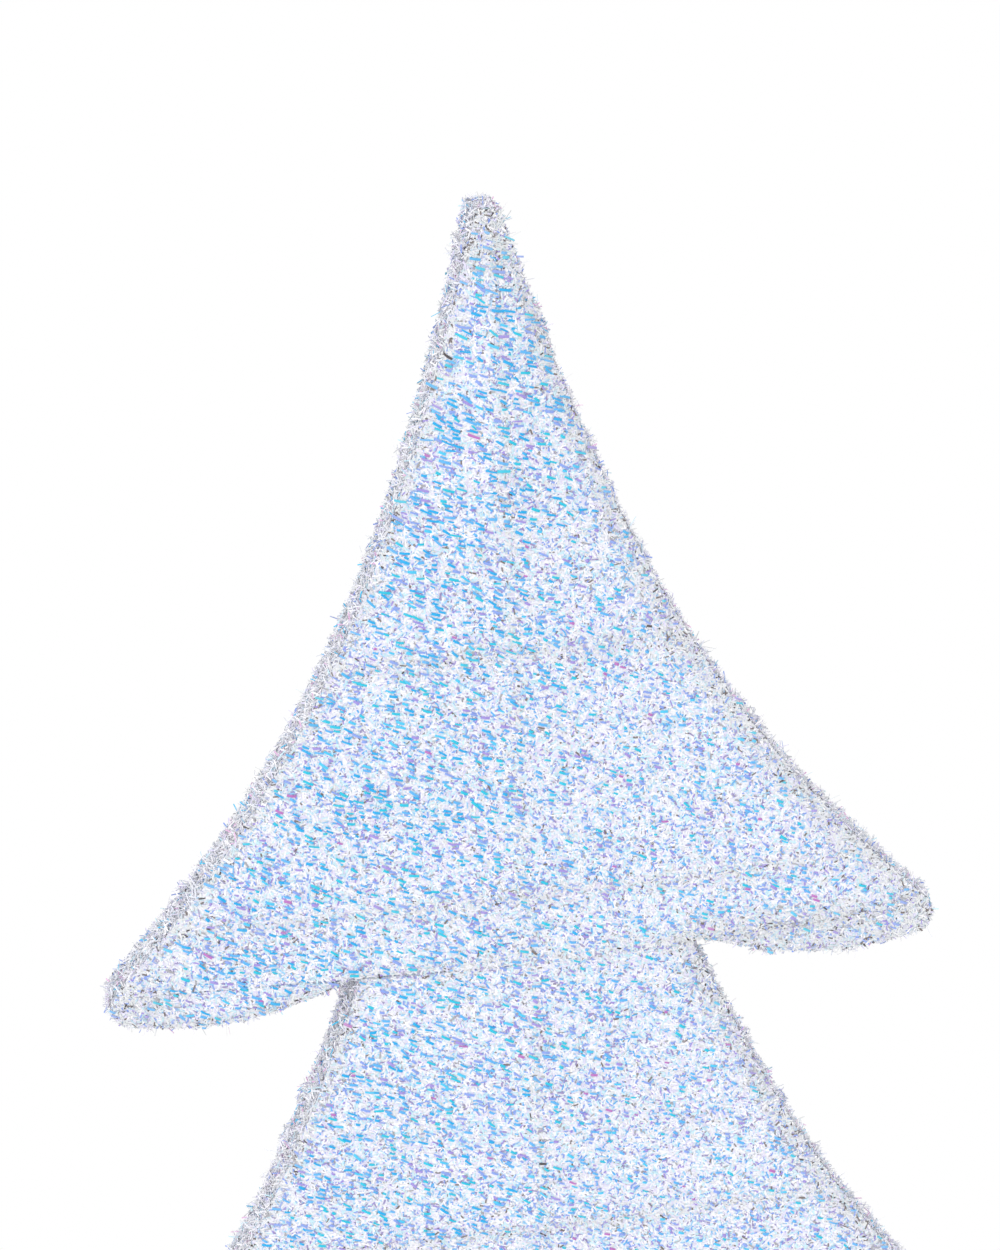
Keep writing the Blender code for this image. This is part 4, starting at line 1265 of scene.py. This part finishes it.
def spring_line(base, tip, tip_radius):
    """Points along a spring that narrows to its tip, each with its direction out from the axis."""
    steps = sizes().spring_turns * TURN_STEPS
    line = []
    for step in range(steps + 1):
        share = step / steps
        rise = within((share - SPRING_FLAT) / (1.0 - 2 * SPRING_FLAT))
        radius = sizes().spring_radius + (tip_radius - sizes().spring_radius) * rise
        angle = math.tau * sizes().spring_turns * share
        out = Vector((0.0, math.cos(angle), math.sin(angle)))
        line.append((base.lerp(tip, rise) + out * radius, out))
    return line


def sweep_wire(shape, line, radius, sides=8):
    """Adds a round wire along a line."""
    rings = []
    for number, (point, out) in enumerate(line):
        after, before = line[min(number + 1, len(line) - 1)][0], line[max(number - 1, 0)][0]
        aside = (after - before).cross(out).normalized()
        ring = []
        for side in range(sides):
            turn = math.tau * side / sides
            spoke = out * math.cos(turn) + aside * math.sin(turn)
            ring.append(shape.verts.new(point + spoke * radius))
        rings.append(ring)
    for first, second in zip(rings, rings[1:]):
        for side in range(sides):
            after = (side + 1) % sides
            shape.faces.new((first[side], first[after], second[after], second[side]))
    shape.faces.new(rings[0])
    shape.faces.new(rings[-1])


def plate_with_springs(node):
    """A contact plate with wound springs in place of its solid ones."""
    shape = welded_copy(node)
    low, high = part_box(node)
    wire = sizes().spring_wire
    sign = 1.0 if high[0] > 0.0 else -1.0
    inner = max(abs(low[0]), abs(high[0])) - CONTACT_THICKNESS
    tips = spring_tips(shape, inner)
    clear_springs(shape, inner)
    for tip, radius in tips:
        base = Vector((sign * (inner - wire * SPRING_SEAT), tip.y, tip.z))
        end = Vector((tip.x + sign * wire, tip.y, tip.z))
        sweep_wire(shape, spring_line(base, end, radius - wire), wire)
    bmesh.ops.recalc_face_normals(shape, faces=shape.faces)
    return mesh_from(shape, node + "_springs")


class TINSEL_OT_springs(bpy.types.Operator):
    """Wind the contact springs of the battery bay"""

    bl_idname = "tinsel.springs"
    bl_label = "Contact springs"

    def execute(self, context):
        for side in ("left", "right"):
            node = f"contact_plate_{side}"
            mesh = plate_with_springs(node)
            mesh.materials.append(surface(*FINISHES["nickel"]))
            item = add_object(f"contact_springs_{side}", mesh)
            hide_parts(node)
        return {"FINISHED"}


class TINSEL_OT_fittings(bpy.types.Operator):
    """Finish the wires, stand, pole, case and lamp string"""

    bl_idname = "tinsel.fittings"
    bl_label = "Frame and fittings"

    def execute(self, context):
        slots = {row["node"]: row["material_slot"] for row in frame["record"]["subparts"]}
        for name, item in frame["nodes"].items():
            if slots.get(name) in FINISHES:
                label, paint = FINISHES[slots[name]]
                item.data.materials.clear()
                item.data.materials.append(surface(label, paint))
        return {"FINISHED"}


def make_camera():
    data = bpy.data.cameras.new("photo camera")
    data.lens = CAMERA_LENS
    data.sensor_width = SENSOR_WIDTH
    data.clip_end = FAR_LIMIT
    camera = linked("photo camera", data)
    yaw, drop, roll = CAMERA_YAW, CAMERA_DROP, CAMERA_ROLL
    forward = Vector((math.sin(yaw) * math.cos(drop), math.cos(yaw) * math.cos(drop), -math.sin(drop)))
    right = Vector((math.cos(yaw), -math.sin(yaw), 0.0))
    up = right.cross(forward)
    across = right * math.cos(roll) - up * math.sin(roll)
    upright = right * math.sin(roll) + up * math.cos(roll)
    turn = Matrix((across, upright, -forward)).transposed()
    camera.matrix_world = Matrix.Translation(CAMERA_PLACE) @ turn.to_4x4()
    bpy.context.scene.camera = camera


def make_world():
    world = bpy.data.worlds.new("studio")
    bpy.context.scene.world = world
    m = fresh_maker(world)
    strength = WORLD_STRENGTH + (1.0 - WORLD_STRENGTH) * m.seen()
    light = m.node("ShaderNodeBackground", None, {"Color": (1.0, 1.0, 1.0), "Strength": strength})
    m.node("ShaderNodeOutputWorld", None, {"Surface": light})


def floor_finish():
    """Pale floor that keeps shadows, and fades to the white surround at its rim."""
    made = bpy.data.materials.new("studio floor")
    m = fresh_maker(made)
    at = m.place()
    distance = m.vector("LENGTH", at, output="Value")
    fade = ((distance - FLOOR_FADE_START) / FLOOR_FADE_WIDTH).clamped()
    ground = m.node(
        "ShaderNodeBsdfPrincipled",
        None,
        {"Base Color": FLOOR_WHITE, "Roughness": 0.8, "Specular IOR Level": 0.2},
        "BSDF",
    )
    white = m.node("ShaderNodeEmission", None, {"Color": (1.0, 1.0, 1.0), "Strength": 1.0})
    mixed = m.node("ShaderNodeMixShader", None, {0: fade * m.seen(), 1: ground, 2: white})
    m.node("ShaderNodeOutputMaterial", None, {"Surface": mixed})
    return made


def make_floor():
    shape = bmesh.new()
    bmesh.ops.create_circle(shape, cap_ends=True, segments=96, radius=FLOOR_RADIUS)
    mesh = mesh_from(shape, "studio_floor")
    mesh.materials.append(floor_finish())
    floor = linked("studio_floor", mesh)
    floor.location.z = -FLOOR_GAP


def make_lamp(name, direction, strength, spread):
    data = bpy.data.lights.new(name, "SUN")
    data.energy = strength
    data.angle = spread
    lamp = linked(name, data)
    lamp.rotation_euler = Vector(direction).to_track_quat("-Z", "Y").to_euler()


class TINSEL_OT_stage(bpy.types.Operator):
    """Set up the floor, the surround, the lamps and the camera"""

    bl_idname = "tinsel.stage"
    bl_label = "Studio"

    def execute(self, context):
        scene = context.scene
        scene.view_settings.view_transform = "Standard"
        make_camera()
        make_world()
        make_floor()
        for name, direction, strength, spread in LAMPS:
            make_lamp(name, direction, strength, spread)
        return {"FINISHED"}


class TINSEL_PT_panel(bpy.types.Panel):
    bl_label = "Tinsel Tree"
    bl_idname = "TINSEL_PT_panel"
    bl_space_type = "VIEW_3D"
    bl_region_type = "UI"
    bl_category = "Tinsel Tree"

    def draw(self, context):
        for group in (context.scene.tinsel_tree_sizes, context.scene.tinsel_tree_colours):
            for name in group.bl_rna.properties.keys():
                if name not in ("rna_type", "name"):
                    self.layout.prop(group, name)
        for operator in OPERATORS:
            self.layout.operator(operator.bl_idname)


OPERATORS = (
    TINSEL_OT_stage,
    TINSEL_OT_cloth,
    TINSEL_OT_strips,
    TINSEL_OT_edge,
    TINSEL_OT_springs,
    TINSEL_OT_fittings,
)
CLASSES = (TreeSizes, TreeColours, *OPERATORS, TINSEL_PT_panel)


def register():
    for item in CLASSES:
        bpy.utils.register_class(item)
    bpy.types.Scene.tinsel_tree_sizes = PointerProperty(type=TreeSizes)
    bpy.types.Scene.tinsel_tree_colours = PointerProperty(type=TreeColours)


def unregister():
    del bpy.types.Scene.tinsel_tree_colours
    del bpy.types.Scene.tinsel_tree_sizes
    for item in reversed(CLASSES):
        bpy.utils.unregister_class(item)


def main():
    register()
    bpy.ops.tinsel.stage()
    bpy.ops.tinsel.cloth()
    bpy.ops.tinsel.strips()
    bpy.ops.tinsel.edge()
    bpy.ops.tinsel.springs()
    bpy.ops.tinsel.fittings()


if __name__ == "__main__":
    main()
